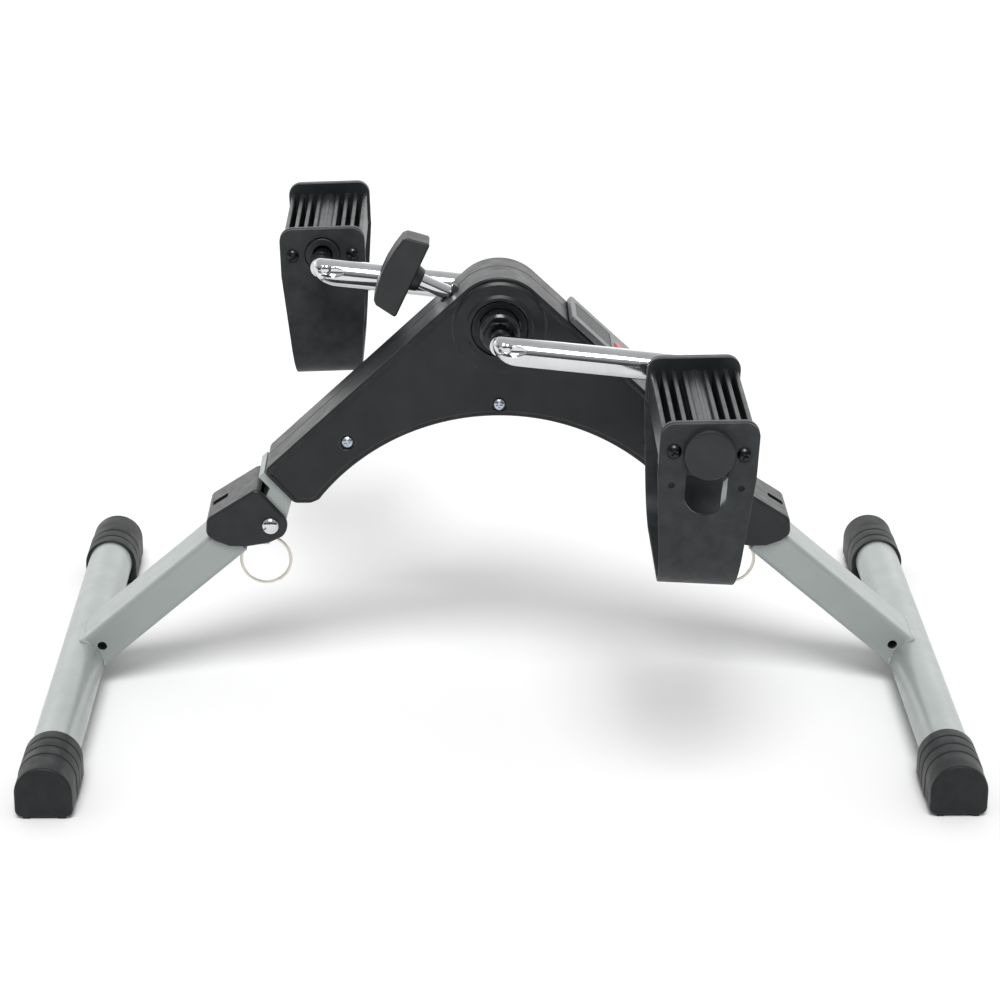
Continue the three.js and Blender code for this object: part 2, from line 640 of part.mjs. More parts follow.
// Folded steel bracket: a top web and two cheeks around the strut's end and the hinge.
function bracket() {
  const cheek = [
    onStrut(24, 25.3), onStrut(27.1, 22.9), onStrut(29.4, 20), onStrut(30.2, 17.6), onStrut(29.2, 12.5),
    onStrut(25.2, 5.2), onStrut(18.8, -0.6), onStrut(7.7, -7.2),
    ...arc(PIVOT.x, PIVOT.z, 9.2, degrees(-55), degrees(35), 7),
    onStrut(-8.7, 21),
  ];
  const whole = slab(cheek, -BRACKET_HALF, BRACKET_HALF);
  const underWeb = [onStrut(60, 27), onStrut(60, -60), onStrut(-60, -60), onStrut(-60, 11.2)];
  const inside = slab(underWeb, -STRUT_HALF - GAP, STRUT_HALF + GAP);
  return cut(whole, inside, barY(PIVOT.x, PIVOT.z, 3.3, -LARGE, LARGE, 16));
}

// Rivet with two domed heads.
function pivotPin() {
  const face = BRACKET_HALF + GAP;
  const half = [[3.2 - GAP, face], [4.7, face], [4.4, face + 1.2], [2.6, face + 2.1], [0, face + 2.4]];
  const profile = [...[...half].reverse().map(([r, y]) => [r, -y]), ...half];
  return turnedY(PIVOT.x, PIVOT.z, profile, 16);
}

// ---------------------------------------------------------------- leg locks (left)

const boltAngle = Math.atan2(downStrut.y, downStrut.x);

// Moves a solid made along +Z at the origin on to the latch bolt's axis.
function onBoltAxis(manifold) {
  return aimed(manifold, PIVOT.x + overStrut.x * BOLT_LIFT, PIVOT.z + overStrut.y * BOLT_LIFT, boltAngle);
}

// Latch bolt inside the strut, with the eye that its pull ring hangs from.
function latchBolt() {
  const bolt = onBoltAxis(barZ(3, KNUCKLE_RADIUS + BOLT_GAP, 40, 14));
  const eye = point(RING_CENTRE.x, RING_CENTRE.z + RING_RADIUS);
  const tab = [
    onStrut(11.5, 1), onStrut(16.5, 1), point(eye.x - 2.2, eye.y + 2.6), point(eye.x - 2.2, eye.y - 3.6),
    point(eye.x + 2.2, eye.y - 3.6), point(eye.x + 2.2, eye.y + 2.6),
  ];
  const eyeHole = barZ(1.9, -12, 12, 12).rotate([0, 90, 0]).translate([eye.x, 0, eye.y - 0.4]);
  return cut(join(bolt, slab(tab, -3, 3)), eyeHole);
}

function pullRing() {
  const geometry = new THREE.TorusGeometry(RING_RADIUS, RING_WIRE, 6, 28);
  geometry.rotateX(Math.PI / 2);
  return solid(geometry.translate(RING_CENTRE.x, 0, RING_CENTRE.z));
}

// Cross plate inside the strut that guides the bolt and holds the spring.
function latchGuide() {
  const from = STRUT_START + 6;
  const low = STRUT_OFFSET - STRUT_DEPTH / 2 + TUBE_WALL + GAP;
  const high = STRUT_OFFSET + STRUT_DEPTH / 2 - TUBE_WALL - GAP;
  const plate = [onStrut(from, high), onStrut(from + 6, high), onStrut(from + 6, low), onStrut(from, low)];
  const half = STRUT_HALF - TUBE_WALL - GAP;
  return cut(slab(plate, -half, half), onBoltAxis(barZ(3.3, 0, 60, 14)));
}

// Compression spring behind the bolt.
function latchSpring() {
  const turns = 4;
  const steps = 40;
  const start = 40.4;
  const length = 18;
  const curve = new THREE.CatmullRomCurve3(Array.from({ length: steps + 1 }, (_, i) => {
    const turn = (2 * Math.PI * turns * i) / steps;
    return new THREE.Vector3(2.4 * Math.cos(turn), 2.4 * Math.sin(turn), start + (length * i) / steps);
  }));
  const wire = new THREE.Shape(circle(0, 0, 0.45, 5));
  const coil = new THREE.ExtrudeGeometry(wire, { steps, extrudePath: curve, bevelEnabled: false });
  return onBoltAxis(solid(coil));
}

// ---------------------------------------------------------------- assembly

const exerciser = new THREE.Group();

function add(group, name, manifold, material) {
  const mesh = new THREE.Mesh(geometryOf(manifold), material.clone());
  mesh.name = name;
  group.add(mesh);
}

add(exerciser, 'centre_frame', centreFrame(), greyPaint);
add(exerciser, 'front_housing', frontHousing(), blackPlastic);
add(exerciser, 'rear_housing', rearHousing(), blackPlastic);
['left', 'middle', 'right'].forEach((place, i) => {
  add(exerciser, `housing_screw_${place}`, housingScrew(SCREWS[i]), plainSteel);
});
add(exerciser, 'near_axle_bush', axleBush(-1), blackPlastic);
add(exerciser, 'far_axle_bush', axleBush(1), blackPlastic);
add(exerciser, 'display_case', displayCase(), blackPlastic);
add(exerciser, 'display_window', displayWindow(), clearPlastic);
add(exerciser, 'display_board', displayBoard(), greenBoard);
add(exerciser, 'reset_button', resetButton(), redPlastic);
add(exerciser, 'speed_sensor', speedSensor(), blackPlastic);
add(exerciser, 'tension_bush', tensionBush(), blackPlastic);

add(exerciser, 'crank_axle', crankAxle(), plainSteel);
add(exerciser, 'brake_drum', brakeDrum(), plainSteel);
add(exerciser, 'speed_magnet', speedMagnet(), plainSteel);

add(exerciser, 'tension_screw', tensionScrew(), chrome);
add(exerciser, 'tension_knob', tensionKnob(), blackPlastic);
add(exerciser, 'brake_shoe', brakeShoe(), plainSteel);
add(exerciser, 'felt_pad', feltPad(), feltWool);

for (const [which, side] of [['near', -1], ['far', 1]]) {
  add(exerciser, `${which}_crank_arm`, crankArm(side), chrome);
  add(exerciser, `${which}_pedal_spindle`, pedalSpindle(side), plainSteel);
  const pedal = new THREE.Group();
  pedal.position.set(spindleAt(side).x, 0, spindleAt(side).y);
  pedal.rotation.y = PEDAL_TILT[which];
  add(pedal, `${which}_pedal_body`, pedalBody(side, PLATE_LEAN[which]), blackPlastic);
  add(pedal, `${which}_strap`, pedalStrap(side, PLATE_LEAN[which]), blackRubber);
  add(pedal, `${which}_pedal_cap`, pedalCap(side), blackPlastic);
  for (const x of [-SCREW_X, SCREW_X]) {
    const hand = x < 0 ? 'left' : 'right';
    add(pedal, `${which}_outer_strap_screw_${hand}`, strapScrew(side, x, true), plainSteel);
    add(pedal, `${which}_inner_strap_screw_${hand}`, strapScrew(side, x, false), plainSteel);
  }
  exerciser.add(pedal);
}

for (const hand of ['left', 'right']) {
  const leg = new THREE.Group();
  leg.scale.x = hand === 'left' ? 1 : -1;
  add(leg, `${hand}_strut`, strut(), greyPaint);
  add(leg, `${hand}_foot_tube`, footTube(), greyPaint);
  add(leg, `${hand}_front_foot_cap`, footCap(-1), blackRubber);
  add(leg, `${hand}_rear_foot_cap`, footCap(1), blackRubber);
  add(leg, `${hand}_bracket`, bracket(), blackPlastic);
  add(leg, `${hand}_pivot_pin`, pivotPin(), chrome);
  add(leg, `${hand}_latch_guide`, latchGuide(), plainSteel);
  add(leg, `${hand}_latch_bolt`, latchBolt(), plainSteel);
  add(leg, `${hand}_latch_spring`, latchSpring(), plainSteel);
  add(leg, `${hand}_pull_ring`, pullRing(), chrome);
  exerciser.add(leg);
}

export default exerciser;
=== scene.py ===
"""Looks for a folding pedal exerciser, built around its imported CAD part.

Lengths are in millimetres until a mesh is made, and angles in degrees. +X is to the right, +Y away
from the camera and +Z up. An outline is a list of (x, z) points, and a shape is a pair of vertices
and faces.
"""
from math import acos, asin, atan2, copysign, cos, degrees, hypot, pi, radians, sin, sqrt, tan

import bmesh
import bpy
from mathutils import Matrix, Vector
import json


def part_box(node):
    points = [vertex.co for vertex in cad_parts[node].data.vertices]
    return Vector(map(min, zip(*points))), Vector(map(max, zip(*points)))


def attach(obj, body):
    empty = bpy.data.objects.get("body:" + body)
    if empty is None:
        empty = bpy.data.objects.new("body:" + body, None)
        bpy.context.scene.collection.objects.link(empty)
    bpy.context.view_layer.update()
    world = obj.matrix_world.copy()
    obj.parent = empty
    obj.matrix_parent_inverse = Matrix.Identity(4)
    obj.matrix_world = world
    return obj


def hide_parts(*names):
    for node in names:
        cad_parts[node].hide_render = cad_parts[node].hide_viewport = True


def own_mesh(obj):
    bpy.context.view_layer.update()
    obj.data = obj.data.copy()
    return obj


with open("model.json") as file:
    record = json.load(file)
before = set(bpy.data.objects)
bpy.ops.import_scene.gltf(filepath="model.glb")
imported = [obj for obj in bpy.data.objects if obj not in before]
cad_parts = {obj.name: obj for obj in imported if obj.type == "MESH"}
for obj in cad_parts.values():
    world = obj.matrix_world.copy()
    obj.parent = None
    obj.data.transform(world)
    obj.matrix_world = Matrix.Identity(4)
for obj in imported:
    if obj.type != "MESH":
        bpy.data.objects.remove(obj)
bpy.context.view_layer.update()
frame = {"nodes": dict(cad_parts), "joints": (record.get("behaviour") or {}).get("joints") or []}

MM = 0.001
FINE = 6  # degrees between the points of an arc
CORNER_STEP = 12  # degrees between the points of a rounded corner
SHARP_EDGE = 32  # degrees from which an edge is shown sharp
THROUGH = 60.0  # how far a tool reaches where it cuts right through
CLEARANCE = 0.3  # between two parts that are fitted together


# ---- places taken from the frame

def joint_place(name):
    joint = next(j for j in frame["joints"] if j["name"] == name)
    return Vector(joint["pos_m"]) / MM


def node_box(name):
    low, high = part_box(name)
    return low / MM, high / MM


def node_middle(name):
    low, high = node_box(name)
    return (low + high) / 2


AXLE_Z = joint_place("crank_spin").z
SPINDLES = {
    "near": joint_place("near_pedal_spin"),
    "far": joint_place("far_pedal_spin"),
}
PIVOT = joint_place("left_leg_fold")
FOOT = node_middle("left_foot_tube")
RING = node_middle("left_pull_ring")
FOOT_END = node_box("left_rear_foot_cap")[1].y
SIDES = {"near": -1, "far": 1}

CRANK_ANGLE = degrees(atan2(SPINDLES["near"].z - AXLE_Z, SPINDLES["near"].x))
CRANK_LENGTH = hypot(SPINDLES["near"].z - AXLE_Z, SPINDLES["near"].x)


# ---- driving dimensions

HALF_BODY = 22.0
WALL = 2.2
PARTING_Y = 3.0
PARTING_GAP = 0.3
CROWN_RADIUS = 27.0
ARM_SLOPE = 43.0
ARM_REACH = 150.0
ARM_END_DEPTH = 20.0
ARM_END_LIP = 3.5
ARM_END_CORNER = 4.2
ARCH_RADIUS = 123.5
ARCH_CENTRE_Z = 38.1
ARCH_FOOT = 19.2
PANEL_RISE = 2.0
AXLE_BORE = 11.5
TENSION_BORE = 6.4
HOUSING_SCREWS = {"left": (-82, 147), "middle": (0, 168.5), "right": (82, 147)}
FRAME_HALF = 17.0

POD_START = 25.0
POD_LENGTH = 47.0
POD_RISE = 3.9
POD_HALF = 20.6
WINDOW_START = 28.0
WINDOW_LENGTH = 26.0
WINDOW_HALF = 12.6
BUTTON_ALONG = 60.0

ARM_Y = 55.0
ARM_RADIUS = 7.7
ARM_DROP = 2.0
ARM_TIP = 4.4
ARM_LOW_ROUND = 10.0
ARM_SIDE_ROUND = 4.6
BOSS_RADIUS = 5.6
BOSS_REACH = 8.6
NUT_START = 34.4
NUT_HEIGHT = 5.0

TENSION_ANGLE = 155.0
KNOB_DISTANCE = 58.0
KNOB_LENGTH = 45.0

PEDAL_TILT = {"near": 3.0, "far": -1.9}
PEDAL_INNER = 84.0
PEDAL_OUTER = 187.0
PLATE_HALF = 24.0
PLATE_THICKNESS = 3.0
PLATE_TOP = 15.2
PLATE_LOW = -13.0
PLATE_CORNER = 7.2
PLATE_LOW_CORNER = 6.0
PLATE_LEAN = {"near": 4.0, "far": 0.0}
RIBS = 9
RIB_PITCH = 5.3
RIB_THICKNESS = 2.4
RIB_DROP = 7.0
PEDAL_BORE = 5.4
BARREL_RADIUS = 7.8
PEDAL_BOSS_RADIUS = 9.5
STRAP_DEPTH = 75.0
STRAP_BEND = 22.0
STRAP_THICKNESS = 2.0
STRAP_LOW_HALF = 18.6
TAPER_START = -12.0
STRAP_SCREW_X = 17.0
STRAP_HOLE = 10.2
SLOT_DROP = 22.0
SPARE_HOLE_DROP = 17.5

FOOT_TUBE_RADIUS = 12.7
CAP_LENGTH = 45.0
CAP_HALF = 14.8
STRUT_DEPTH = 20.0
STRUT_HALF = 17.5
STRUT_OFFSET = 6.5
STRUT_START = 21.0
TUBE_WALL = 1.5
BRACKET_CHEEK = 3.0
BRACKET_HALF = STRUT_HALF + BRACKET_CHEEK
RING_RADIUS = 13.7
BOLT_LIFT = 1.6
SPRING_LENGTH = 18.0
SPRING_END = 58.4
SPRING_RADIUS = 2.4
SPRING_TURNS = 4


# ---- outlines

def arc(x, z, radius, start, stop, fine=FINE):
    """Points on an arc about (x, z), both ends included, about `fine` degrees apart."""
    steps = max(2, round(abs(stop - start) / fine))
    angles = [radians(start + (stop - start) * i / steps) for i in range(steps + 1)]
    return [(x + radius * cos(a), z + radius * sin(a)) for a in angles]


def mirrored(points):
    return [(-x, z) for x, z in reversed(points)]


def rectangle(left, low, right, high):
    return [(left, low), (right, low), (right, high), (left, high)]


def around(sides):
    """Angles evenly around a full turn."""
    return [2 * pi * i / sides for i in range(sides)]


def rounded(corners, radius, closed=True):
    """An outline through the corners, each rounded by an arc; an open one keeps its two ends."""
    outline = []
    count = len(corners)
    for i, corner in enumerate(corners):
        if not closed and i in (0, count - 1):
            outline.append(corner)
            continue
        here = Vector(corner)
        before = Vector(corners[i - 1]) - here
        after = Vector(corners[(i + 1) % count]) - here
        half = before.angle(after) / 2
        reach = min(radius / tan(half), 0.49 * min(before.length, after.length))
        inwards = (before.normalized() + after.normalized()).normalized()
        centre = here + inwards * (reach / cos(half))
        start = here + before.normalized() * reach - centre
        stop = here + after.normalized() * reach - centre
        turn = atan2(start.cross(stop), start.dot(stop))
        steps = max(2, round(degrees(abs(turn)) / CORNER_STEP))
        for k in range(steps + 1):
            outline.append(tuple(centre + Matrix.Rotation(turn * k / steps, 2) @ start))
    return outline


def inset(points, distance):
    """A closed outline moved inwards, with the same number of points."""
    points = [Vector(p) for p in points]
    area = sum(a.cross(b) for a, b in zip(points, points[1:] + points[:1]))
    inwards = copysign(1, area)
    edges = []
    for here, after in zip(points, points[1:] + points[:1]):
        along = (after - here).normalized()
        edges.append((here + Vector((-along.y, along.x)) * distance * inwards, along))
    moved = []
    for (start_a, along_a), (start_b, along_b) in zip(edges[-1:] + edges[:-1], edges):
        cross = along_a.cross(along_b)
        if abs(cross) < 1e-5:
            moved.append(tuple(start_b))
        else:
            moved.append(tuple(start_a + along_a * ((start_b - start_a).cross(along_b) / cross)))
    return moved


def on_line(origin, along, across, a, b):
    """The point a along one direction and b along the other."""
    return (origin[0] + along[0] * a + across[0] * b, origin[1] + along[1] * a + across[1] * b)


SINE = sin(radians(ARM_SLOPE))
COSINE = cos(radians(ARM_SLOPE))
ARM_TOP = (-CROWN_RADIUS * SINE, AXLE_Z + CROWN_RADIUS * COSINE)


def on_arm(along, depth):
    """A point down the left arm, depth under its top."""
    return on_line(ARM_TOP, (-COSINE, -SINE), (SINE, -COSINE), along, depth)


FOOT_DROP = PIVOT.z - FOOT.z
FOOT_OUT = PIVOT.x - FOOT.x
STRUT_REACH = hypot(FOOT_DROP, FOOT_OUT)
STRUT_ANGLE = atan2(FOOT_DROP, FOOT_OUT) + asin(STRUT_OFFSET / STRUT_REACH)
DOWN_STRUT = (-cos(STRUT_ANGLE), -sin(STRUT_ANGLE))
OVER_STRUT = (-sin(STRUT_ANGLE), cos(STRUT_ANGLE))


def on_strut(along, above):
    """A point down the left strut from its hinge, above its line."""
    return on_line((PIVOT.x, PIVOT.z), DOWN_STRUT, OVER_STRUT, along, above)


# ---- shapes

def skin(rings, closed=False):
    """Joins rings of equally many points; an open row of rings gets a cap at each end."""
    size = len(rings[0])
    count = len(rings)
    vertices = [tuple(p) for ring in rings for p in ring]
    faces = []
    for a in range(count if closed else count - 1):
        b = (a + 1) % count
        for i in range(size):
            j = (i + 1) % size
            faces.append((a * size + i, a * size + j, b * size + j, b * size + i))
    if not closed:
        faces.append(tuple(reversed(range(size))))
        faces.append(tuple(range((count - 1) * size, count * size)))
    return vertices, faces


def layered(outline, layers):
    """An outline built up along Y from (inset, y) layers."""
    return skin([[(x, y, z) for x, z in inset(outline, amount)] for amount, y in layers])


def soft_edge(radius, y, towards):
    """Layers that round an edge which ends at y; towards is the way out along Y."""
    turns = [radians(90 * k / 4) for k in range(5)]
    return [(radius * (1 - cos(t)), y - towards * radius * (1 - sin(t))) for t in turns]


def slab(outline, low, high, soft=0.0):
    """An outline made solid from low to high along Y, with softened rims."""
    if soft == 0:
        return layered(outline, [(0, low), (0, high)])
    return layered(outline, soft_edge(soft, low, -1)[::-1] + soft_edge(soft, high, 1))


def turned(profile, sides=48, closed=False):
    """A shape turned about Z; the profile is (radius, z) pairs."""
    return skin([[(radius * cos(a), radius * sin(a), z) for a in around(sides)]
                 for radius, z in profile], closed)


def both_ends(half):
    """A profile whose low end mirrors its high one."""
    return [(radius, -z) for radius, z in reversed(half)] + half


def ring_of(profile, soft, sides=64):
    """A turned ring whose cross-section is a closed outline with softened corners."""
    return turned(rounded(profile, soft), sides, closed=True)


def swept(path, radius, sides=10):
    """Round wire along a path, with closed ends."""
    points = [Vector(p) for p in path]
    rings = []
    across = None
    for i, here in enumerate(points):
        ahead = (points[min(i + 1, len(points) - 1)] - points[max(i - 1, 0)]).normalized()
        across = ahead.orthogonal() if across is None else across - ahead * across.dot(ahead)
        across.normalize()
        other = ahead.cross(across)
        rings.append([here + (across * cos(a) + other * sin(a)) * radius
                      for a in around(sides)])
    return skin(rings)


def placed(shape, matrix):
    vertices, faces = shape
    return [tuple(matrix @ Vector(v)) for v in vertices], faces


def moved(x, y, z):
    return Matrix.Translation((x, y, z))


def spun(angle, axis):
    return Matrix.Rotation(radians(angle), 4, axis)


def facing(origin, direction):
    """Puts a shape made along +Z at the origin, pointing along a direction."""
    turn = Vector(direction).to_track_quat("Z", "Y").to_matrix().to_4x4()
    return Matrix.Translation(origin) @ turn


def along_y(x, z, side=1, y=0):
    """Points a shape made along +Z away from the camera, or towards it where side is -1."""
    return facing((x, y, z), (0, side, 0))


def rod(radius, low, high, place, sides=48):
    """A plain round bar, which cuts a hole where it is a tool."""
    return placed(turned([(radius, low), (radius, high)], sides), place)


def together(*shapes):
    """Several closed shells as one shape."""
    vertices = []
    faces = []
    for some, theirs in shapes:
        start = len(vertices)
        vertices += some
        faces += [tuple(start + i for i in face) for face in theirs]
    return vertices, faces


def in_scene(name, data):
    made = bpy.data.objects.new(name, data)
    bpy.context.scene.collection.objects.link(made)
    return made


def as_object(name, shape):
    """A mesh object in millimetres, without doubled points and with its faces outwards."""
    mesh = bpy.data.meshes.new(name)
    mesh.from_pydata(shape[0], [], shape[1])
    cleaned = bmesh.new()
    cleaned.from_mesh(mesh)
    bmesh.ops.remove_doubles(cleaned, verts=cleaned.verts, dist=1e-4)
    bmesh.ops.dissolve_degenerate(cleaned, edges=cleaned.edges, dist=1e-4)
    bmesh.ops.recalc_face_normals(cleaned, faces=cleaned.faces)
    cleaned.to_mesh(mesh)
    cleaned.free()
    return in_scene(name, mesh)


def combined(operation, shape, tools):
    """A boolean of one shape with others."""
    work = as_object("work", shape)
    others = [as_object("tool", tool) for tool in tools]
    for other in others:
        modifier = work.modifiers.new("boolean", "BOOLEAN")
        modifier.operation = operation
        modifier.solver = "EXACT"
        modifier.object = other
    result = work.evaluated_get(bpy.context.evaluated_depsgraph_get())
    mesh = result.to_mesh()
    vertices = [tuple(v.co) for v in mesh.vertices]
    faces = [tuple(p.vertices) for p in mesh.polygons]
    result.to_mesh_clear()
    for made in [work, *others]:
        bpy.data.meshes.remove(made.data)
    return vertices, faces


def carved(shape, *tools):
    return combined("DIFFERENCE", shape, tools)


def united(shape, *tools):
    return combined("UNION", shape, tools)


def piece(name, shape, material, body, nodes):
    """A finished piece that rides on a body and stands for CAD nodes."""
    made = as_object(name, shape)
    made.data.transform(Matrix.Scale(MM, 4))
    for polygon in made.data.polygons:
        polygon.use_smooth = True
    made.data.set_sharp_from_angle(angle=radians(SHARP_EDGE))
    normals = made.modifiers.new("normals", "WEIGHTED_NORMAL")
    normals.keep_sharp = True
    made.data.materials.append(material)
    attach(made, body)
    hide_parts(*nodes)
    return made


def pieces(owner, body, place, rows):
    """Pieces of one body, whose names and CAD nodes start with their owner's name."""
    made = {}
    for name, shape, material, node, slot in rows:
        made[name] = piece(f"{owner}_{name}", placed(shape, place), material, body,
                           [f"{owner}_{node}"])
    return made


def dressed(node, material, edge=0.3):
    """A CAD node that is shown as it is, with its edges broken and a finish of its own."""
    shown = frame["nodes"][node]
    weld = shown.modifiers.new("weld", "WELD")
    weld.merge_threshold = 1e-6
    bevel = shown.modifiers.new("edges", "BEVEL")
    bevel.width = edge * MM
    bevel.segments = 2
    bevel.limit_method = "ANGLE"
    bevel.angle_limit = radians(40)
    for holder in shown.material_slots:
        holder.material = material


# ---- finishes

def srgb(red, green, blue):
    """A display colour from 0 to 255 as the linear colour that shaders take."""
    return tuple((c / 255 / 12.92) if c < 10.4 else ((c / 255 + 0.055) / 1.055) ** 2.4
                 for c in (red, green, blue)) + (1.0,)


def shader_of(finish):
    return finish.node_tree.nodes["Principled BSDF"]


def new_finish(name, values):
    """A material whose shader's own inputs get values by their names."""
    finish = bpy.data.materials.new(name)
    finish.use_nodes = True
    for field, value in values.items():
        shader_of(finish).inputs[field].default_value = value
    return finish


def new_node(owner, kind, inputs, **settings):
    """A node of a material or the world; each input gets a value or another node's output."""
    tree = owner.node_tree
    node = tree.nodes.new("ShaderNode" + kind)
    for name, value in settings.items():
        setattr(node, name, value)
    for name, value in inputs.items():
        if isinstance(value, bpy.types.NodeSocket):
            tree.links.new(value, node.inputs[name])
        else:
            node.inputs[name].default_value = value
    return node


def noise(finish, size, detail=3.0, stretch=(1, 1, 1)):
    """A noise factor whose blobs are about size millimetres across, on the object's own points."""
    place = new_node(finish, "TexCoord", {}).outputs["Object"]
    mapping = new_node(finish, "Mapping", {"Vector": place, "Scale": stretch})
    texture = new_node(finish, "TexNoise", {
        "Vector": mapping.outputs["Vector"], "Scale": 1 / (size * MM), "Detail": detail})
    return texture.outputs["Fac"]


def between(owner, factor, low, high, start=0.3, stop=0.7):
    """Maps a factor's range from start to stop onto low to high."""
    return new_node(owner, "MapRange", {
        "Value": factor, "From Min": start, "From Max": stop, "To Min": low, "To Max": high,
    }).outputs["Result"]


def blended(owner, factor, first, second):
    """Mixes two colours; each is a display colour or another node's output."""
    first, second = (srgb(*c) if isinstance(c, tuple) else c for c in (first, second))
    inputs = {"Factor": factor, "A": first, "B": second}
    return new_node(owner, "Mix", inputs, data_type="RGBA").outputs["Result"]


def mottled(finish, grain, dark, light):
    """Two colours in patches; a grain is a noise's size, detail and stretch."""
    return blended(finish, between(finish, noise(finish, *grain), 0, 1), dark, light)


def edge_factor(finish, radius):
    """Rises from 0 on a flat surface to 1 on an edge tighter than the radius."""
    bevel = new_node(finish, "Bevel", {"Radius": radius * MM}, samples=4)
    plain = new_node(finish, "NewGeometry", {})
    dot = new_node(finish, "VectorMath", {
        0: bevel.outputs["Normal"], 1: plain.outputs["Normal"]}, operation="DOT_PRODUCT")
    return between(finish, dot.outputs["Value"], 1, 0, 0.86, 0.99)


def worn(finish, colour, wear, radius, size):
    """A colour that wears to another along the edges, broken up by noise."""
    patches = between(finish, noise(finish, size), 0, 1, 0.4, 0.62)
    factor = new_node(finish, "Math", {
        0: edge_factor(finish, radius), 1: patches}, operation="MULTIPLY").outputs["Value"]
    return blended(finish, factor, colour, wear)


def finished(finish, colour, gloss, *relief):
    """Gives a finish its colour, its gloss as (grain, lowest and highest roughness), and its
    relief as (grain, depth in mm) layers, one on another."""
    links = finish.node_tree.links
    inputs = shader_of(finish).inputs
    grain, low, high = gloss
    links.new(colour, inputs["Base Color"])
    links.new(between(finish, noise(finish, *grain), low, high), inputs["Roughness"])
    below = {}
    for grain, depth in relief:
        height = noise(finish, *grain)
        bump = new_node(finish, "Bump", {"Height": height, "Distance": depth * MM, **below})
        below = {"Normal": bump.outputs["Normal"]}
    links.new(below["Normal"], inputs["Normal"])
    return finish


def moulded_plastic(name, dark, light, low, high, grain=0.35, specular=0.25):
    """Injection-moulded plastic: fine spark-eroded grain, soft patches, paler worn edges."""
    finish = new_finish(name, {"Specular IOR Level": specular})
    base = worn(finish, mottled(finish, (14, 4), dark, light), (78, 81, 83), 0.7, 5)
    return finished(finish, base, ((9, 5), low, high), ((grain, 2), 0.022), ((7, 2), 0.03))


def rubber(name, dark, light):
    """Moulded rubber: matt, a little dusty, with a coarse skin."""
    finish = new_finish(name, {"Specular IOR Level": 0.32})
    base = mottled(finish, (6, 6), dark, light)
    return finished(finish, base, ((11, 4), 0.42, 0.6), ((0.5, 3), 0.03), ((4, 3), 0.05))


def powder_paint():
    """Silver grey paint: fine flakes under a skin with a slight orange peel."""
    finish = new_finish("silver_paint", {
        "Metallic": 0.25, "Coat Weight": 0.25, "Coat Roughness": 0.18})
    flakes = between(finish, noise(finish, 0.25, 1), 0, 1, 0.35, 0.65)
    base = blended(finish, flakes, (144, 151, 149), (164, 170, 168))
    clouds = between(finish, noise(finish, 30, 4), 0, 0.35)
    base = blended(finish, clouds, base, (138, 145, 143))
    base = worn(finish, base, (190, 194, 192), 0.6, 4)
    return finished(finish, base, ((12, 5), 0.3, 0.44), ((1.6, 2), 0.012), ((0.25, 1), 0.004))


def black_paint():
    """Semi-gloss black paint on folded steel, with wear on its edges."""
    finish = new_finish("bracket_paint", {"Specular IOR Level": 0.35})
    base = mottled(finish, (8, 4), (26, 28, 30), (34, 36, 38))
    base = worn(finish, base, (96, 99, 100), 0.5, 3)
    return finished(finish, base, ((6, 5), 0.28, 0.42), ((1.1, 3), 0.02), ((0.3, 2), 0.006))


def bright_metal(name, dark, light, low, high, stretch=(1, 1, 1)):
    """Polished or drawn metal, with fine lines and smudges in its gloss."""
    finish = new_finish(name, {"Metallic": 1.0})
    base = mottled(finish, (10, 4), dark, light)
    return finished(finish, base, ((5, 6, stretch), low, high), ((0.6, 3, stretch), 0.0015))


def window_plastic():
    """Smoked window with fine scuffs."""
    finish = new_finish("smoked_window", {"Specular IOR Level": 0.05})
    base = mottled(finish, (12, 3), (30, 33, 35), (40, 43, 45))
    return finished(finish, base, ((3, 6, (1, 1, 6)), 0.14, 0.26), ((1.5, 3), 0.003))


def red_plastic():
    finish = new_finish("red_button", {})
    base = mottled(finish, (3, 3), (190, 80, 88), (206, 96, 103))
    return finished(finish, base, ((2, 4), 0.25, 0.42), ((0.3, 2), 0.01))


def circuit_board():
    """Green lacquer over fine raised lines."""
    finish = new_finish("board_green", {})
    lines = (1.2, 1, (1, 5, 1))
    tracks = between(finish, noise(finish, *lines), 0, 1, 0.48, 0.52)
    base = blended(finish, tracks, (34, 84, 54), (58, 118, 74))
    return finished(finish, base, ((3, 3), 0.35, 0.6), (lines, 0.03))


def felt_wool():
    finish = new_finish("felt_wool", {"Specular IOR Level": 0.1, "Sheen Weight": 0.4})
    fibres = (0.4, 5, (1, 4, 1))
    base = mottled(finish, fibres, (112, 106, 94), (156, 150, 136))
    return finished(finish, base, ((2, 3), 0.88, 1.0), (fibres, 0.2))


HOUSING_PLASTIC = moulded_plastic(
    "housing_plastic", (19, 21, 24), (26, 29, 31), 0.3, 0.42, specular=0.36)
POD_PLASTIC = moulded_plastic(
    "pod_plastic", (66, 69, 71), (78, 81, 83), 0.26, 0.36, specular=0.7)
PEDAL_PLASTIC = moulded_plastic(
    "pedal_plastic", (30, 33, 35), (40, 43, 45), 0.3, 0.42, grain=0.5, specular=0.34)
KNOB_PLASTIC = moulded_plastic(
    "knob_plastic", (25, 28, 29), (34, 37, 38), 0.36, 0.48, grain=0.6, specular=0.46)
COLLAR_PLASTIC = moulded_plastic(
    "collar_plastic", (20, 22, 24), (28, 30, 32), 0.14, 0.24, specular=0.5)
STRAP_RUBBER = rubber("strap_rubber", (34, 36, 38), (47, 50, 52))
CAP_RUBBER = rubber("foot_cap_rubber", (19, 21, 22), (29, 31, 33))
SILVER_PAINT = powder_paint()
BRACKET_PAINT = black_paint()
CHROME = bright_metal("chrome_plate", (206, 208, 210), (218, 219, 221), 0.05, 0.13)
STEEL = bright_metal("plain_steel", (150, 154, 158), (176, 179, 182), 0.25, 0.42, (1, 8, 1))
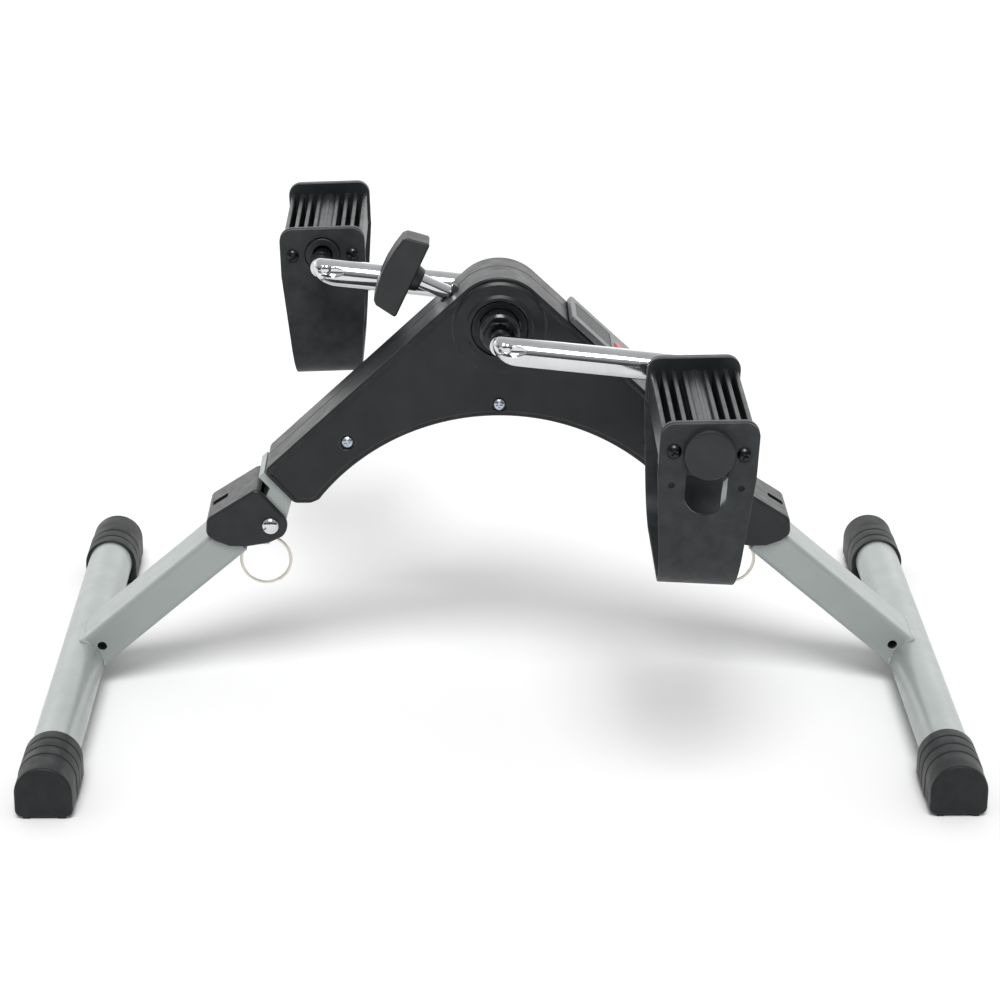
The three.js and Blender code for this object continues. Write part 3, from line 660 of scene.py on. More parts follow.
RING_STEEL = bright_metal("ring_steel", (214, 208, 198), (232, 228, 220), 0.3, 0.45)
ZINC = bright_metal("blue_zinc", (168, 182, 202), (198, 205, 214), 0.16, 0.34)
BLACK_OXIDE = bright_metal("black_oxide", (44, 46, 48), (60, 62, 64), 0.2, 0.34)
WINDOW = window_plastic()
RED = red_plastic()
BOARD = circuit_board()
FELT = felt_wool()


# ---- housing

def housing_outline():
    """The crown, the two arms with their blunt ends, and the arch under them."""
    end_x, end_z = on_arm(ARM_REACH, ARM_END_DEPTH)
    low = end_z - ARM_END_LIP
    arch_foot = degrees(acos((end_x + ARCH_FOOT) / ARCH_RADIUS))
    arch = arc(0, ARCH_CENTRE_Z, ARCH_RADIUS, arch_foot, 90, FINE / 4)
    corners = [on_arm(0, 0), on_arm(ARM_REACH, 0), (end_x + 3, low), (end_x + 12, low),
               (end_x + 16.5, low + 1.9), arch[0]]
    left = [
        *arc(0, AXLE_Z, CROWN_RADIUS, 90, 90 + ARM_SLOPE, FINE / 2),
        *rounded(corners, ARM_END_CORNER, closed=False)[1:-1],
        *arch,
    ]
    return left + mirrored(left)[1:-1]


def tension_axis():
    away = (cos(radians(TENSION_ANGLE)), 0, sin(radians(TENSION_ANGLE)))
    return facing((0, 0, AXLE_Z), away)


def pod_frame():
    """Local X runs down the right arm, Z across it, and Y out of its top."""
    top = Vector((-ARM_TOP[0], 0, ARM_TOP[1]))
    down = Vector((COSINE, 0, -SINE))
    out = Vector((SINE, 0, COSINE))
    rows = Matrix((down, out, Vector((0, 1, 0)))).transposed().to_4x4()
    return Matrix.Translation(top) @ rows


def pod_block(start, stop, half, low, high, corner, soft=0.0):
    """A softened block on the right arm, from low to high over its top."""
    outline = rounded(rectangle(start, -half, stop, half), corner)
    return placed(slab(outline, low, high, soft), pod_frame())


def arm_end_opening(sign):
    """Where the frame comes out of the left arm's end, or of the right one's where sign is 1."""
    corners = rectangle(ARM_REACH - 12, 4.4, ARM_REACH + 12, 17)
    outline = rounded([on_arm(along, depth) for along, depth in corners], 1.5)
    if sign > 0:
        outline = mirrored(outline)
    half = FRAME_HALF + 2 * CLEARANCE
    return slab(outline, -half, half)


def hub_rings(side):
    """Raised rings that step up towards the axle."""
    steps = [(AXLE_BORE, -1), (25.3, -1), (25.2, 0.05), (24.0, 1.05), (23.5, 1.2), (18.6, 1.2),
             (18.3, 1.35), (17.2, 2.45), (16.8, 2.6), (15.6, 2.6), (14.6, 1.7), (AXLE_BORE, 1.3)]
    return placed(turned(steps, 72, closed=True), along_y(0, AXLE_Z, side, side * HALF_BODY))


def housing_half(side):
    """A hollow moulded tub: softened rim, narrow ledge, and a raised panel."""
    parting = PARTING_Y + side * PARTING_GAP / 2
    face = side * HALF_BODY
    ledge = face - side * PANEL_RISE
    layers = [
        (WALL, face - side * WALL), (WALL, parting), (0.35, parting), (0, parting + side * 0.35),
        *soft_edge(0.9, ledge, side),
        (2.0, ledge), (2.1, face - side * 1.9), (3.2, face - side * 0.25),
        (3.5, face - side * 0.08), (3.9, face),
    ]
    tools = [
        rod(AXLE_BORE, -THROUGH, THROUGH, along_y(0, AXLE_Z)),
        rod(TENSION_BORE, 5, THROUGH, tension_axis()),
        pod_block(POD_START + 3.4, POD_START + POD_LENGTH - 3.4, 17.6, -6, 6, 1.5),
        arm_end_opening(-1),
        arm_end_opening(1),
    ]
    if side < 0:
        tools += [screw_recess(x, z) for x, z in HOUSING_SCREWS.values()]
    return together(carved(layered(housing_outline(), layers), *tools), hub_rings(side))


def screw_recess(x, z):
    """A shallow pocket for a screw's head in the front face."""
    profile = [(4.1, -1.5), (4.1, -0.5), (4.7, 0.2), (4.7, 2)]
    return placed(turned(profile, 36), along_y(x, z, -1, -HALF_BODY))


def pan_screw(radius, height, shank):
    """A pan-head screw with a cross recess; its seat is at z 0 and its head points up Z."""
    head = [(0, height), (radius * 0.45, height * 0.95), (radius * 0.8, height * 0.72),
            (radius, height * 0.3), (radius, 0), (1.5, 0), (1.5, -shank), (0, -shank)]
    reach = radius * 0.55
    depth = height * 0.9
    flute = placed(slab(rectangle(-reach, -0.42, reach, 0.42), -depth, 0), spun(90, "X"))
    lift = moved(0, 0, height * 0.35 + depth)
    flutes = [placed(flute, lift @ spun(turn, "Z")) for turn in (0, 90)]
    return carved(turned(head, 36), *flutes)


def make_housing():
    for name, side in (("front_housing", -1), ("rear_housing", 1)):
        piece(f"{name}_shell", housing_half(side), HOUSING_PLASTIC, "main_frame", [name])
    for place, (x, z) in HOUSING_SCREWS.items():
        screw = placed(pan_screw(3.2, 1.7, 14), spun(x, "Z"))
        screw = placed(screw, along_y(x, z, -1, 1.3 - HALF_BODY))
        piece(f"screw_{place}", screw, ZINC, "main_frame", [f"housing_screw_{place}"])


# ---- axle and display

def axle_collar(side):
    profile = [(6.3, 13.4), (9.1, 13.4), (9.1, 18), (10.8, 18), (10.8, 32.8), (9.4, 34), (6.3, 34)]
    return placed(ring_of(profile, 0.35), along_y(0, AXLE_Z, side))


def tension_collar():
    return placed(ring_of(rectangle(4.3, 21.6, 5.9, 30), 0.4, 40), tension_axis())


def button_frame():
    """Local Z points out of the pod's top, through the button."""
    return pod_frame() @ facing((BUTTON_ALONG, 0, 0), (0, 1, 0))


def display_case():
    """A low pod with a softened rim and a recess for the window."""
    stop = POD_START + POD_LENGTH
    window_stop = WINDOW_START + WINDOW_LENGTH
    flange = pod_block(POD_START, stop, POD_HALF, 0.3, POD_RISE, 2.5, 0.9)
    buried = pod_block(POD_START + 4, stop - 4, 16.7, -2.5, POD_RISE - 1.2, 1.5)
    recess = pod_block(WINDOW_START, window_stop, WINDOW_HALF, POD_RISE - 1.4, POD_RISE + 1, 1.2)
    pocket = pod_block(WINDOW_START + 2.5, window_stop - 2.5, WINDOW_HALF - 2.1, -1, POD_RISE, 1)
    hole = rod(3.7, 0.5, 8, button_frame())
    return carved(united(flange, buried), recess, pocket, hole)


def display_glass():
    return pod_block(WINDOW_START + 0.3, WINDOW_START + WINDOW_LENGTH - 0.3, WINDOW_HALF - 0.3,
                     POD_RISE - 1.1, POD_RISE - 0.1, 1, 0.25)


def reset_button():
    """A button with a shallow dished top."""
    profile = [(0, 1.2), (3.4, 1.2), (3.4, 4.3), (3.0, 4.8), (2.4, 4.85), (1.2, 4.65), (0, 4.6)]
    return placed(turned(profile, 40), button_frame())


def make_display():
    piece("display_pod", display_case(), POD_PLASTIC, "main_frame", ["display_case"])
    piece("display_glass", display_glass(), WINDOW, "main_frame", ["display_window"])
    piece("red_button", reset_button(), RED, "button", ["reset_button"])


def make_collars():
    collars = {"near_collar": ("near_axle_bush", axle_collar(-1)),
               "far_collar": ("far_axle_bush", axle_collar(1)),
               "tension_collar": ("tension_bush", tension_collar())}
    for name, (node, shape) in collars.items():
        piece(name, shape, COLLAR_PLASTIC, "main_frame", [node])


# ---- crankset

def hex_nut(radius, height):
    """A nut along +Z with its corners turned off at both faces."""
    hexagon = [(radius, 0), (radius, height)]
    across = radius * cos(radians(30))
    turning = [(0, 0), (across, 0), (radius, 0.9), (radius, height - 0.9), (across, height),
               (0, height)]
    return combined("INTERSECT", turned(hexagon, 6), [turned(turning, 48)])


def crank_axle():
    """A bar with chamfered ends and a nut near each arm."""
    end = ARM_Y - BOSS_REACH - CLEARANCE
    bar = turned(both_ends([(6, end - 0.4), (5.6, end), (0, end)]), 40)
    nuts = [placed(hex_nut(9, NUT_HEIGHT), facing((0, 0, side * NUT_START), (0, 0, side)))
            for side in (-1, 1)]
    return placed(united(bar, *nuts), along_y(0, AXLE_Z))


def quarter(distance, reach):
    """Height of a quarter ellipse of height 1, distance back from its full end."""
    return sqrt(max(0.0, 1 - (max(0.0, distance) / reach) ** 2))


def arm_section(inwards):
    """Top, bottom and half width of the arm's tube at a distance inwards of its nearer shaft."""
    tip_z = 1.4
    low_round = quarter(ARM_LOW_ROUND - inwards, ARM_LOW_ROUND + ARM_TIP)
    side_round = quarter(ARM_SIDE_ROUND - inwards, ARM_SIDE_ROUND + ARM_TIP)
    top = tip_z + (ARM_RADIUS - ARM_DROP - tip_z) * quarter(-inwards, ARM_TIP)
    low = tip_z - (ARM_RADIUS + ARM_DROP + tip_z) * low_round
    return top, low, ARM_RADIUS * side_round


def arm_tube():
    """The tube lies along X between the two shafts."""
    steps = 16
    ends = [-ARM_TIP + (ARM_LOW_ROUND + ARM_TIP) * (1 - cos(radians(90 * k / steps)))
            for k in range(steps + 1)]
    stations = [(end, end) for end in ends] + [(CRANK_LENGTH - end, end) for end in reversed(ends)]
    rings = []
    for x, inwards in stations:
        top, low, half = arm_section(inwards)
        rings.append([(x, half * cos(a), (top + low + (top - low) * sin(a)) / 2)
                      for a in around(48)])
    return skin(rings)


def scoop(x, side):
    """The pressed hollow around a shaft's riveted end."""
    at_axle = x == 0
    middle = 5.5 if at_axle else CRANK_LENGTH - 5.5
    lean = spun(-4 if at_axle else 4, "Y")
    half_turn = [(cos(radians(a)), sin(radians(a))) for a in range(-90, 91, 10)]
    ball = turned([(max(0, radius), z) for radius, z in half_turn], 40)
    place = moved(middle, side * (ARM_RADIUS - 0.3), 0.6)
    return placed(ball, place @ lean @ Matrix.Diagonal((8.5, 2.6, 3.4, 1)))


def crank_arm(side):
    """Chrome tube with a shaft on each face and a rivet opposite each shaft."""
    axle_end = 0 if side < 0 else CRANK_LENGTH
    stub = turned([(0, 0), (BOSS_RADIUS, 0), (BOSS_RADIUS, BOSS_REACH - 0.5),
                   (BOSS_RADIUS - 0.5, BOSS_REACH), (0, BOSS_REACH)], 40)
    dome = turned([(2.7, -3), (2.7, 0.3), (2.1, 0.9), (1.1, 1.2), (0, 1.3)], 32)
    stubs = []
    scoops = []
    rivets = []
    for x, way in ((axle_end, side), (CRANK_LENGTH - axle_end, -side)):
        stubs.append(placed(stub, along_y(x, 0, -way)))
        scoops.append(scoop(x, way))
        inner = 3.4 if x == 0 else CRANK_LENGTH - 3.4
        rivets.append(placed(dome, along_y(inner, 1.0, way, way * (ARM_RADIUS - 1.6))))
    arm = together(carved(united(arm_tube(), *stubs), *scoops), *rivets)
    axle = moved(0, side * ARM_Y, AXLE_Z)
    return placed(arm, axle @ spun(-CRANK_ANGLE, "Y") @ moved(-axle_end, 0, 0))


def pedal_spindle(which):
    """Spindle with a shoulder where it meets the arm."""
    start = ARM_Y + BOSS_REACH + CLEARANCE
    stop = PEDAL_OUTER + 1
    profile = [(0, start), (6, start), (6.4, start + 0.4), (6.4, start + 3.2), (6, start + 3.6),
               (5, start + 4), (5, stop - 0.8), (4.2, stop), (0, stop)]
    spot = SPINDLES[which]
    return placed(turned(profile, 40), along_y(spot.x, spot.z, SIDES[which]))


def make_crankset():
    piece("axle_and_nuts", crank_axle(), BLACK_OXIDE, "crankset", ["crank_axle"])
    for which, side in SIDES.items():
        pieces(which, "crankset", Matrix.Identity(4), [
            ("chrome_arm", crank_arm(side), CHROME, "crank_arm", "chrome"),
            ("spindle", pedal_spindle(which), BLACK_OXIDE, "pedal_spindle", "steel")])


# ---- pedals

def pedal_place(which):
    spot = moved(SPINDLES[which].x, 0, SPINDLES[which].z)
    return spot @ spun(PEDAL_TILT[which], "Y")


def leaning_top(top, low, lean):
    """The two rounded upper corners of a plate whose top edge rises to the right by the lean."""
    rise = tan(radians(lean)) * PLATE_HALF
    return rounded([(PLATE_HALF, low), (PLATE_HALF, top + rise), (-PLATE_HALF, top - rise),
                    (-PLATE_HALF, low)], PLATE_CORNER, closed=False)[1:-1]


def plate_outline(lean):
    upper = leaning_top(PLATE_TOP, PLATE_LOW, lean)
    lower = rounded([upper[-1], (-PLATE_HALF, PLATE_LOW), (PLATE_HALF, PLATE_LOW), upper[0]],
                    PLATE_LOW_CORNER, closed=False)
    return upper + lower[1:-1]


def plate(start, side, lean):
    low, high = sorted((side * start, side * (start + PLATE_THICKNESS)))
    return slab(plate_outline(lean), low, high, 0.7)


def tread_rib(index, side, lean):
    x = (index - (RIBS - 1) / 2) * RIB_PITCH
    top = PLATE_TOP - RIB_DROP + x * tan(radians(lean))
    half = RIB_THICKNESS / 2
    low, high = sorted((side * (PEDAL_INNER + 1.5), side * (PEDAL_OUTER - 1.5)))
    return slab(rounded(rectangle(x - half, PLATE_LOW + 2, x + half, top), 0.8), low, high)


def pedal_body(side, lean):
    """Ribs between two plates, around a barrel with a boss on the crank's side."""
    away = along_y(0, 0, side)
    barrel = ring_of(rectangle(PEDAL_BORE, PEDAL_INNER + 1.5, BARREL_RADIUS, PEDAL_OUTER - 1.5),
                     0.3, 48)
    boss = ring_of(rectangle(PEDAL_BORE, PEDAL_INNER - 3.4, PEDAL_BOSS_RADIUS, PEDAL_INNER + 1),
                   0.6, 48)
    bore = rod(PEDAL_BORE, PEDAL_INNER - 24, PEDAL_OUTER + 13, away)
    plates = [carved(plate(start, side, lean), bore)
              for start in (PEDAL_INNER, PEDAL_OUTER - PLATE_THICKNESS)]
    ribs = []
    for i in range(RIBS):
        rib = tread_rib(i, side, lean)
        over_bore = abs(i - (RIBS - 1) / 2) < 2
        ribs.append(carved(rib, bore) if over_bore else rib)
    return together(*plates, *ribs, placed(barrel, away), placed(boss, away))


def strap_path(side):
    """The strap's middle line as (y, z) points, from the outer leg's top around to the inner's."""
    outer = PEDAL_OUTER + CLEARANCE + STRAP_THICKNESS / 2
    inner = PEDAL_INNER - CLEARANCE - STRAP_THICKNESS / 2
    low = -STRAP_DEPTH + STRAP_THICKNESS / 2
    bend = STRAP_BEND - STRAP_THICKNESS / 2
    floor = outer - inner - 2 * bend
    straight = [PLATE_TOP + 6, TAPER_START]
    path = [(outer, z) for z in straight]
    path += arc(outer - bend, low + bend, bend, 0, -90)
    path += [(inner + bend + floor * k / 8, low) for k in range(7, 0, -1)]
    path += arc(inner + bend, low + bend, bend, -90, -180)
    path += [(inner, z) for z in reversed(straight)]
    return [(side * y, z) for y, z in path]


def strap_half(z):
    """Half the strap's width at a height: parallel over the plates, then tapering."""
    share = max(0, (TAPER_START - z) / (STRAP_DEPTH + TAPER_START))
    return PLATE_HALF + (STRAP_LOW_HALF - PLATE_HALF) * share


def strap_shoulders(lean):
    """What is cut off over both legs, to round their tops like the plates behind them."""
    side = PLATE_HALF + 5
    above = PLATE_TOP + 20
    over = leaning_top(PLATE_TOP - 0.4, -5, lean)
    outline = [(side, above), (side, over[0][1]), *over, (-side, over[-1][1]), (-side, above)]
    return slab(outline, -4 * THROUGH, 4 * THROUGH)


def strap(side, lean):
    """A moulded U: a slot and two blind spare holes in its outer leg, a boss hole in its inner."""
    path = strap_path(side)
    half = STRAP_THICKNESS / 2
    rings = []
    for i, (y, z) in enumerate(path):
        before = Vector(path[max(i - 1, 0)])
        after = Vector(path[min(i + 1, len(path) - 1)])
        along = (after - before).normalized()
        out = Vector((-along.y, along.x)) * side
        wide = strap_half(z)
        section = rounded(rectangle(-wide, -half, wide, half), 0.6)
        rings.append([(x, y + out.x * depth, z + out.y * depth) for x, depth in section])
    slot = slab([*arc(0, 0, STRAP_HOLE, 0, 180), *arc(0, -SLOT_DROP, STRAP_HOLE, 180, 360)],
                *sorted((side * (PEDAL_OUTER - 10), side * (PEDAL_OUTER + 10))))
    holes = [rod(STRAP_HOLE, PEDAL_INNER - 10, PEDAL_INNER + 10, along_y(0, 0, side))]
    for x in (-STRAP_SCREW_X, STRAP_SCREW_X):
        screw = rod(1.9, PEDAL_INNER - 10, PEDAL_OUTER + 10, along_y(x, 0, side), 24)
        spare = rod(1.6, PEDAL_OUTER + 0.9, PEDAL_OUTER + 10,
                    along_y(x, -SPARE_HOLE_DROP, side), 24)
        holes += [screw, spare]
    return carved(skin(rings), strap_shoulders(lean), slot, *holes)


def spindle_cap(side):
    """Round cap with a softened rim and a very slightly dished face."""
    profile = [(0, 3), (6, 3), (6, 0.3), (9.4, 0.3), (9.4, 2.9), (12.5, 2.9), (12.5, 6.2),
               (12.1, 7.0), (11.2, 7.4), (6, 7.3), (0, 7.25)]
    turning = turned([(radius, PEDAL_OUTER + proud) for radius, proud in profile], 64)
    return placed(turning, along_y(0, 0, side))


def strap_screw(side, x, outer):
    """A screw through one leg of the strap, with its head outside."""
    proud = CLEARANCE + STRAP_THICKNESS
    face = PEDAL_OUTER + proud if outer else PEDAL_INNER - proud
    screw = placed(pan_screw(3.6, 2.2, 2), spun(20 + 3 * x, "Z"))
    return placed(screw, along_y(x, 0, side if outer else -side, side * face))


def make_pedal(which):
    side = SIDES[which]
    lean = PLATE_LEAN[which]
    rows = [
        ("tread", pedal_body(side, lean), PEDAL_PLASTIC, "pedal_body", "black_plastic"),
        ("toe_strap", strap(side, lean), STRAP_RUBBER, "strap", "black_rubber"),
        ("spindle_cap", spindle_cap(side), PEDAL_PLASTIC, "pedal_cap", "black_plastic"),
    ]
    for hand, x in (("left", -STRAP_SCREW_X), ("right", STRAP_SCREW_X)):
        for leg, outer in (("outer", True), ("inner", False)):
            rows.append((f"{leg}_screw_{hand}", strap_screw(side, x, outer), BLACK_OXIDE,
                         f"{leg}_strap_screw_{hand}", "steel"))
    pieces(which, f"{which}_pedal", pedal_place(which), rows)


# ---- brake handle

def tension_screw():
    end = KNOB_DISTANCE - 8
    profile = [(0, 17.9), (3.4, 17.9), (4, 18.6), (4, end - 0.4), (3.6, end), (0, end)]
    return placed(turned(profile, 40), tension_axis())


def tension_knob():
    """T handle: thick softened bar, convex outside, with a boss towards the screw."""
    half = KNOB_LENGTH / 2
    bulge = 3
    crest = 10
    radius = ((half - 2) ** 2 + bulge ** 2) / (2 * bulge)
    spread = degrees(asin((half - 4) / radius))
    back = arc(0, crest - radius, radius, 90 - spread, 90 + spread)
    corners = [back[-1], (2 - half, 5.6), (-half, -7), (half, -7), (half - 2, 5.6), back[0]]
    bar = slab(rounded(corners, 1.5, closed=False)[1:-1] + back, -9, 9, 1.3)
    neck = turned([(0, -4), (8.6, -4), (7.4, -7.6), (6.4, -11), (5.8, -11.6), (0, -11.6)], 48)
    socket = turned([(4.3, -13), (4.3, -6.5)], 40)
    knob = carved(united(bar, placed(neck, Matrix.Diagonal((1, 0.98, 1, 1)))), socket)
    return placed(knob, tension_axis() @ moved(0, 0, KNOB_DISTANCE) @ knob_roll())


def knob_roll():
    """Turns the bar so that its long side lies square to the screw in the XZ plane."""
    axes = tension_axis().to_3x3()
    across = axes.inverted() @ Vector((0, 1, 0))
    return Matrix.Rotation(atan2(across.y, across.x) - radians(90), 4, "Z")


def make_brake():
    piece("chrome_screw", tension_screw(), CHROME, "tension_handle", ["tension_screw"])
    piece("t_handle", tension_knob(), KNOB_PLASTIC, "tension_handle", ["tension_knob"])


# ---- legs

MIRROR = Matrix.Scale(-1, 4, Vector((1, 0, 0)))


def foot_tube():
    end = FOOT_END - 3.3
    profile = rectangle(FOOT_TUBE_RADIUS - TUBE_WALL, -end, FOOT_TUBE_RADIUS, end)
    return placed(ring_of(profile, 0.3, 72), along_y(FOOT.x, FOOT.z))


def cap_outline():
    corner = 4
    centre = FOOT.z - 1.2
    base = 1
    return [
        *arc(FOOT.x, centre, CAP_HALF, 0, 180),
        *arc(FOOT.x - CAP_HALF + corner, base + corner, corner, 180, 270),
        *arc(FOOT.x + CAP_HALF - corner, base + corner, corner, 270, 360)[:-1],
    ]


def foot_cap(side):
    """D-shaped cap: ribbed bands where it grips the tube, a soft front rim and two floor pads."""
    end = FOOT_END
    start = end - CAP_LENGTH
    layers = [(0.9, start), (0.2, start + 0.4)]
    for band in range(3):
        low = start + 0.6 + band * 9.4
        layers += [(-0.2, low), (-0.4, low + 0.5), (-0.4, low + 7.4), (-0.2, low + 7.9),
                   (0.05, low + 8.3), (0.05, low + 8.8)]
    layers += [(0, start + 30), *soft_edge(1.6, end, 1)]
    body = layered(cap_outline(), [(amount, side * y) for amount, y in layers])
    bore = rod(FOOT_TUBE_RADIUS + CLEARANCE, start - 5, end - 3, along_y(FOOT.x, FOOT.z, side), 72)
    low, high = sorted((side * (end - 14), side * (end - 0.8)))
    pads = [slab(rounded(rectangle(x - 2, 0, x + 2, 2), 0.6), low, high, 0.5)
            for x in (FOOT.x - 9, FOOT.x + 9)]
    return together(carved(body, bore), *pads)


def strut_frame():
    """Local X runs across the strut (world Y), Y down it and Z up out of it."""
    x, z = on_strut(0, STRUT_OFFSET)
    axes = Matrix(((0, 1, 0), (DOWN_STRUT[0], 0, DOWN_STRUT[1]),
                   (OVER_STRUT[0], 0, OVER_STRUT[1])))
    return moved(x, 0, z) @ axes.transposed().to_4x4()


def tube_outline(shrink, corner):
    half = STRUT_HALF - shrink
    deep = STRUT_DEPTH / 2 - shrink
    return rounded(rectangle(-half, -deep, half, deep), corner)


def strut():
    """Rectangular tube with rounded corners, saddled over the foot tube, with a drain hole."""
    outer = placed(slab(tube_outline(0, 3.2), STRUT_START, STRUT_REACH), strut_frame())
    inner = placed(slab(tube_outline(TUBE_WALL, 1.8), STRUT_START - 2, STRUT_REACH + 2),
                   strut_frame())
    saddle = rod(FOOT_TUBE_RADIUS + 0.15, -THROUGH, THROUGH, along_y(FOOT.x, FOOT.z), 72)
    drain_x, drain_z = on_strut(STRUT_REACH - 16.4, STRUT_OFFSET)
    drain = rod(2.7, -THROUGH, THROUGH, along_y(drain_x, drain_z), 32)
    return carved(outer, inner, saddle, drain)


def down_to_foot(height, radius):
    """How far down the strut a line at this height meets a circle about the foot tube."""
    offset = Vector((FOOT.x - PIVOT.x, FOOT.z - PIVOT.z))
    along = offset.dot(Vector(DOWN_STRUT))
    above = offset.dot(Vector(OVER_STRUT))
    return along - sqrt(radius ** 2 - (height - above) ** 2)


def weld_bead():
    """The bead where the strut's outline meets the foot tube."""
    points = []
    for y, above in tube_outline(0.2, 3.2):
        height = STRUT_OFFSET + above
        x, z = on_strut(down_to_foot(height, FOOT_TUBE_RADIUS + CLEARANCE), height)
        points.append(Vector((x, y, z)))
    points.append(points[0])
    path = []
    for a, b in zip(points, points[1:]):
        steps = max(1, round((b - a).length / 1.5))
        path += [a + (b - a) * k / steps for k in range(steps)]
    return swept(path, 0.95, 8)


def bracket():
    """Folded steel: a slotted web between two cheeks, with soft folds."""
    cheek = [
        on_strut(24, 25.5), on_strut(29.4, 20), on_strut(30.2, 17.6), on_strut(29.2, 12.5),
        on_strut(25.2, 5.2), on_strut(18.8, -0.6), on_strut(7.7, -7.2),
        *arc(PIVOT.x, PIVOT.z, 9.2, -55, 35)[1:-1],
        on_strut(-8.7, 21),
    ]
    far = THROUGH
    under_web = [on_strut(far, 27), on_strut(far, -far), on_strut(-far, -far),
                 on_strut(-far, 11.2)]
    inside = slab(under_web, -STRUT_HALF - CLEARANCE, STRUT_HALF + CLEARANCE)
    hole = rod(3.3, -THROUGH, THROUGH, along_y(PIVOT.x, PIVOT.z), 40)
    return carved(slab(rounded(cheek, 4), -BRACKET_HALF, BRACKET_HALF, 1.5), inside, hole,
                  web_slot())


def web_slot():
    """A slot along the web near its outer end."""
    x, z = on_strut(16.5, 24)
    return placed(slab(rounded(rectangle(-3.2, -5, 3.2, 5), 1.4), -6, 6),
                  moved(x, 0, z) @ strut_frame().to_3x3().to_4x4() @ spun(90, "X"))


def pivot_rivet():
    """A pin with a domed head on the outside of each cheek."""
    face = BRACKET_HALF + CLEARANCE
    half = [(3.0, face), (4.4, face), (4.7, face + 0.3), (4.6, face + 0.9), (3.9, face + 1.7),
            (2.6, face + 2.2), (1.2, face + 2.4), (0, face + 2.4)]
    return placed(turned(both_ends(half), 40), along_y(PIVOT.x, PIVOT.z))


def split_ring():
    """Two turns of flattened wire side by side, crossing over in a short step."""
    wide = 0.82
    thick = 0.42
    steps = 128
    rings = []
    for k in range(steps + 1):
        turn = 40 + 640 * k / steps
        step = min(1, max(0, (turn - 320) / 80))
        angle = radians(turn - 100)
        out = Vector((cos(angle), 0, sin(angle)))
        middle = Vector((RING.x, thick * (2 * step - 1), RING.z)) + out * RING_RADIUS
        rings.append([middle + out * wide * cos(a) + Vector((0, thick * sin(a), 0))
                      for a in around(12)])
    return skin(rings)


def latch_spring():
    """Compression spring behind the bolt."""
    x, z = on_strut(SPRING_END - SPRING_LENGTH, BOLT_LIFT)
    steps = 24 * SPRING_TURNS
    path = []
    for k in range(steps + 1):
        turn = 2 * pi * SPRING_TURNS * k / steps
        path.append((SPRING_RADIUS * cos(turn), SPRING_RADIUS * sin(turn),
                     SPRING_LENGTH * k / steps))
    return placed(swept(path, 0.45, 8), facing((x, 0, z), (DOWN_STRUT[0], 0, DOWN_STRUT[1])))


def compress(spring):
    """Gives the spring a mesh of its own; its length stays as built."""
    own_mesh(spring)


def make_leg(hand):
    place = Matrix.Identity(4) if hand == "left" else MIRROR
    made = pieces(hand, f"{hand}_leg", place, [
        ("steel_strut", together(strut(), weld_bead()), SILVER_PAINT, "strut", "grey_paint"),
        ("foot_bar", foot_tube(), SILVER_PAINT, "foot_tube", "grey_paint"),
        ("front_cap", foot_cap(-1), CAP_RUBBER, "front_foot_cap", "black_rubber"),
        ("rear_cap", foot_cap(1), CAP_RUBBER, "rear_foot_cap", "black_rubber"),
        ("folded_bracket", bracket(), BRACKET_PAINT, "bracket", "black_paint"),
        ("pivot_rivet", pivot_rivet(), CHROME, "pivot_pin", "chrome"),
        ("lock_spring", latch_spring(), STEEL, "latch_spring", "steel"),
    ])
    compress(made["lock_spring"])
    pieces(hand, f"{hand}_ring", place, [
        ("split_ring", split_ring(), RING_STEEL, "pull_ring", "chrome")])


def dress_inner_parts():
    dressed("centre_frame", SILVER_PAINT)
    dressed("display_board", BOARD, 0.1)
    dressed("speed_sensor", PEDAL_PLASTIC)
    dressed("brake_drum", STEEL)
    dressed("speed_magnet", STEEL, 0.15)
    dressed("brake_shoe", STEEL)
    dressed("felt_pad", FELT, 0.2)
    for hand in ("left", "right"):
        dressed(f"{hand}_latch_guide", STEEL)
        dressed(f"{hand}_latch_bolt", ZINC, 0.25)


# ---- studio

def add_floor():
    """A plain pale floor."""
    size = 12.0  # metres
    mesh = bpy.data.meshes.new("floor")
    corners = [(x, y, 0) for x, y in rectangle(-size, -size, size, size)]
    mesh.from_pydata(corners, [], [(0, 1, 2, 3)])
    floor = in_scene("floor", mesh)
    mesh.materials.append(new_finish("floor_white", {
        "Roughness": 0.9, "Specular IOR Level": 0.0, "Base Color": (0.82, 0.82, 0.82, 1)}))


def light_ramp(world, height, stops):
    """Grey levels by how high a direction points."""
    ramp = new_node(world, "ValToRGB", {"Fac": height})
    elements = ramp.color_ramp.elements
    for position, level in stops[1:-1]:
        elements.new(position)
    for element, (position, level) in zip(elements, stops):
        element.position = position
        element.color = (level, level, level, 1)
    return ramp.outputs["Color"]


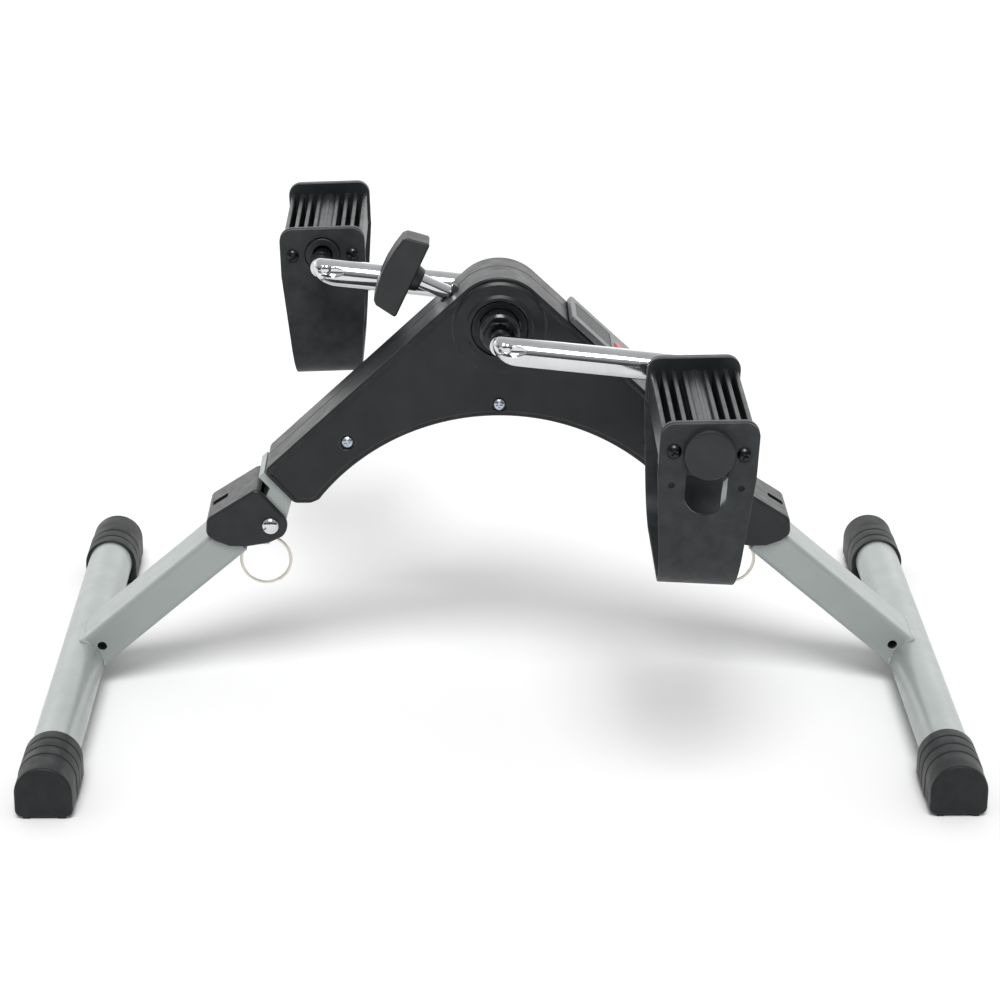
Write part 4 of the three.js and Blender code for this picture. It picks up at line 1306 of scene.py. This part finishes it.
def add_world():
    """A soft studio: bright behind, dim in front near the floor, and even overhead."""
    world = bpy.data.worlds.new("studio")
    bpy.context.scene.world = world
    world.use_nodes = True
    place = new_node(world, "TexCoord", {})
    axes = new_node(world, "SeparateXYZ", {"Vector": place.outputs["Generated"]}).outputs
    front = light_ramp(world, axes["Z"], [(0.0, 0.03), (0.24, 0.05), (0.42, 0.2), (1.0, 0.3)])
    back = light_ramp(world, axes["Z"], [(0.0, 0.5), (0.28, 1.0), (0.62, 0.42), (1.0, 0.3)])
    share = between(world, axes["Y"], 0, 1, -0.35, 0.45)
    background = world.node_tree.nodes["Background"]
    background.inputs["Strength"].default_value = 1.9
    world.node_tree.links.new(blended(world, share, front, back), background.inputs["Color"])


def direction(azimuth, elevation):
    """A unit vector; azimuth 0 points to the camera's side."""
    flat = cos(radians(elevation))
    return Vector((sin(radians(azimuth)) * flat, -cos(radians(azimuth)) * flat,
                   sin(radians(elevation))))


def add_sun(name, elevation, azimuth, strength, width):
    """A soft light from a direction."""
    data = bpy.data.lights.new(name, "SUN")
    data.energy = strength
    data.angle = radians(width)
    turn = direction(azimuth, elevation).to_track_quat("Z", "Y")
    in_scene(name, data).rotation_euler = turn.to_euler()


def add_camera():
    """A long lens from the front, a little above."""
    distance = 1.6021  # metres
    target = Vector((0.98, 0, 105.56)) * MM
    roll = radians(-0.262)
    back = direction(-0.918, 20.754)
    level = Vector((0, 0, 1)).cross(back).normalized()
    upright = back.cross(level)
    right = level * cos(roll) - upright * sin(roll)
    up = level * sin(roll) + upright * cos(roll)
    data = bpy.data.cameras.new("camera")
    data.sensor_width = 36
    data.lens = 104.39
    camera = in_scene("camera", data)
    axes = Matrix((right, up, back)).transposed().to_4x4()
    camera.matrix_world = Matrix.Translation(target + back * distance) @ axes
    bpy.context.scene.camera = camera


def write_sizes():
    def plain(box):
        return [[round(value, 6) for value in corner] for corner in box]


bpy.context.scene.view_settings.view_transform = "Standard"
add_camera()
add_floor()
add_world()
add_sun("key", 56, 0, 2.55, 28)
make_housing()
make_display()
make_collars()
make_crankset()
for which in SIDES:
    make_pedal(which)
make_brake()
for hand in ("left", "right"):
    make_leg(hand)
dress_inner_parts()
write_sizes()
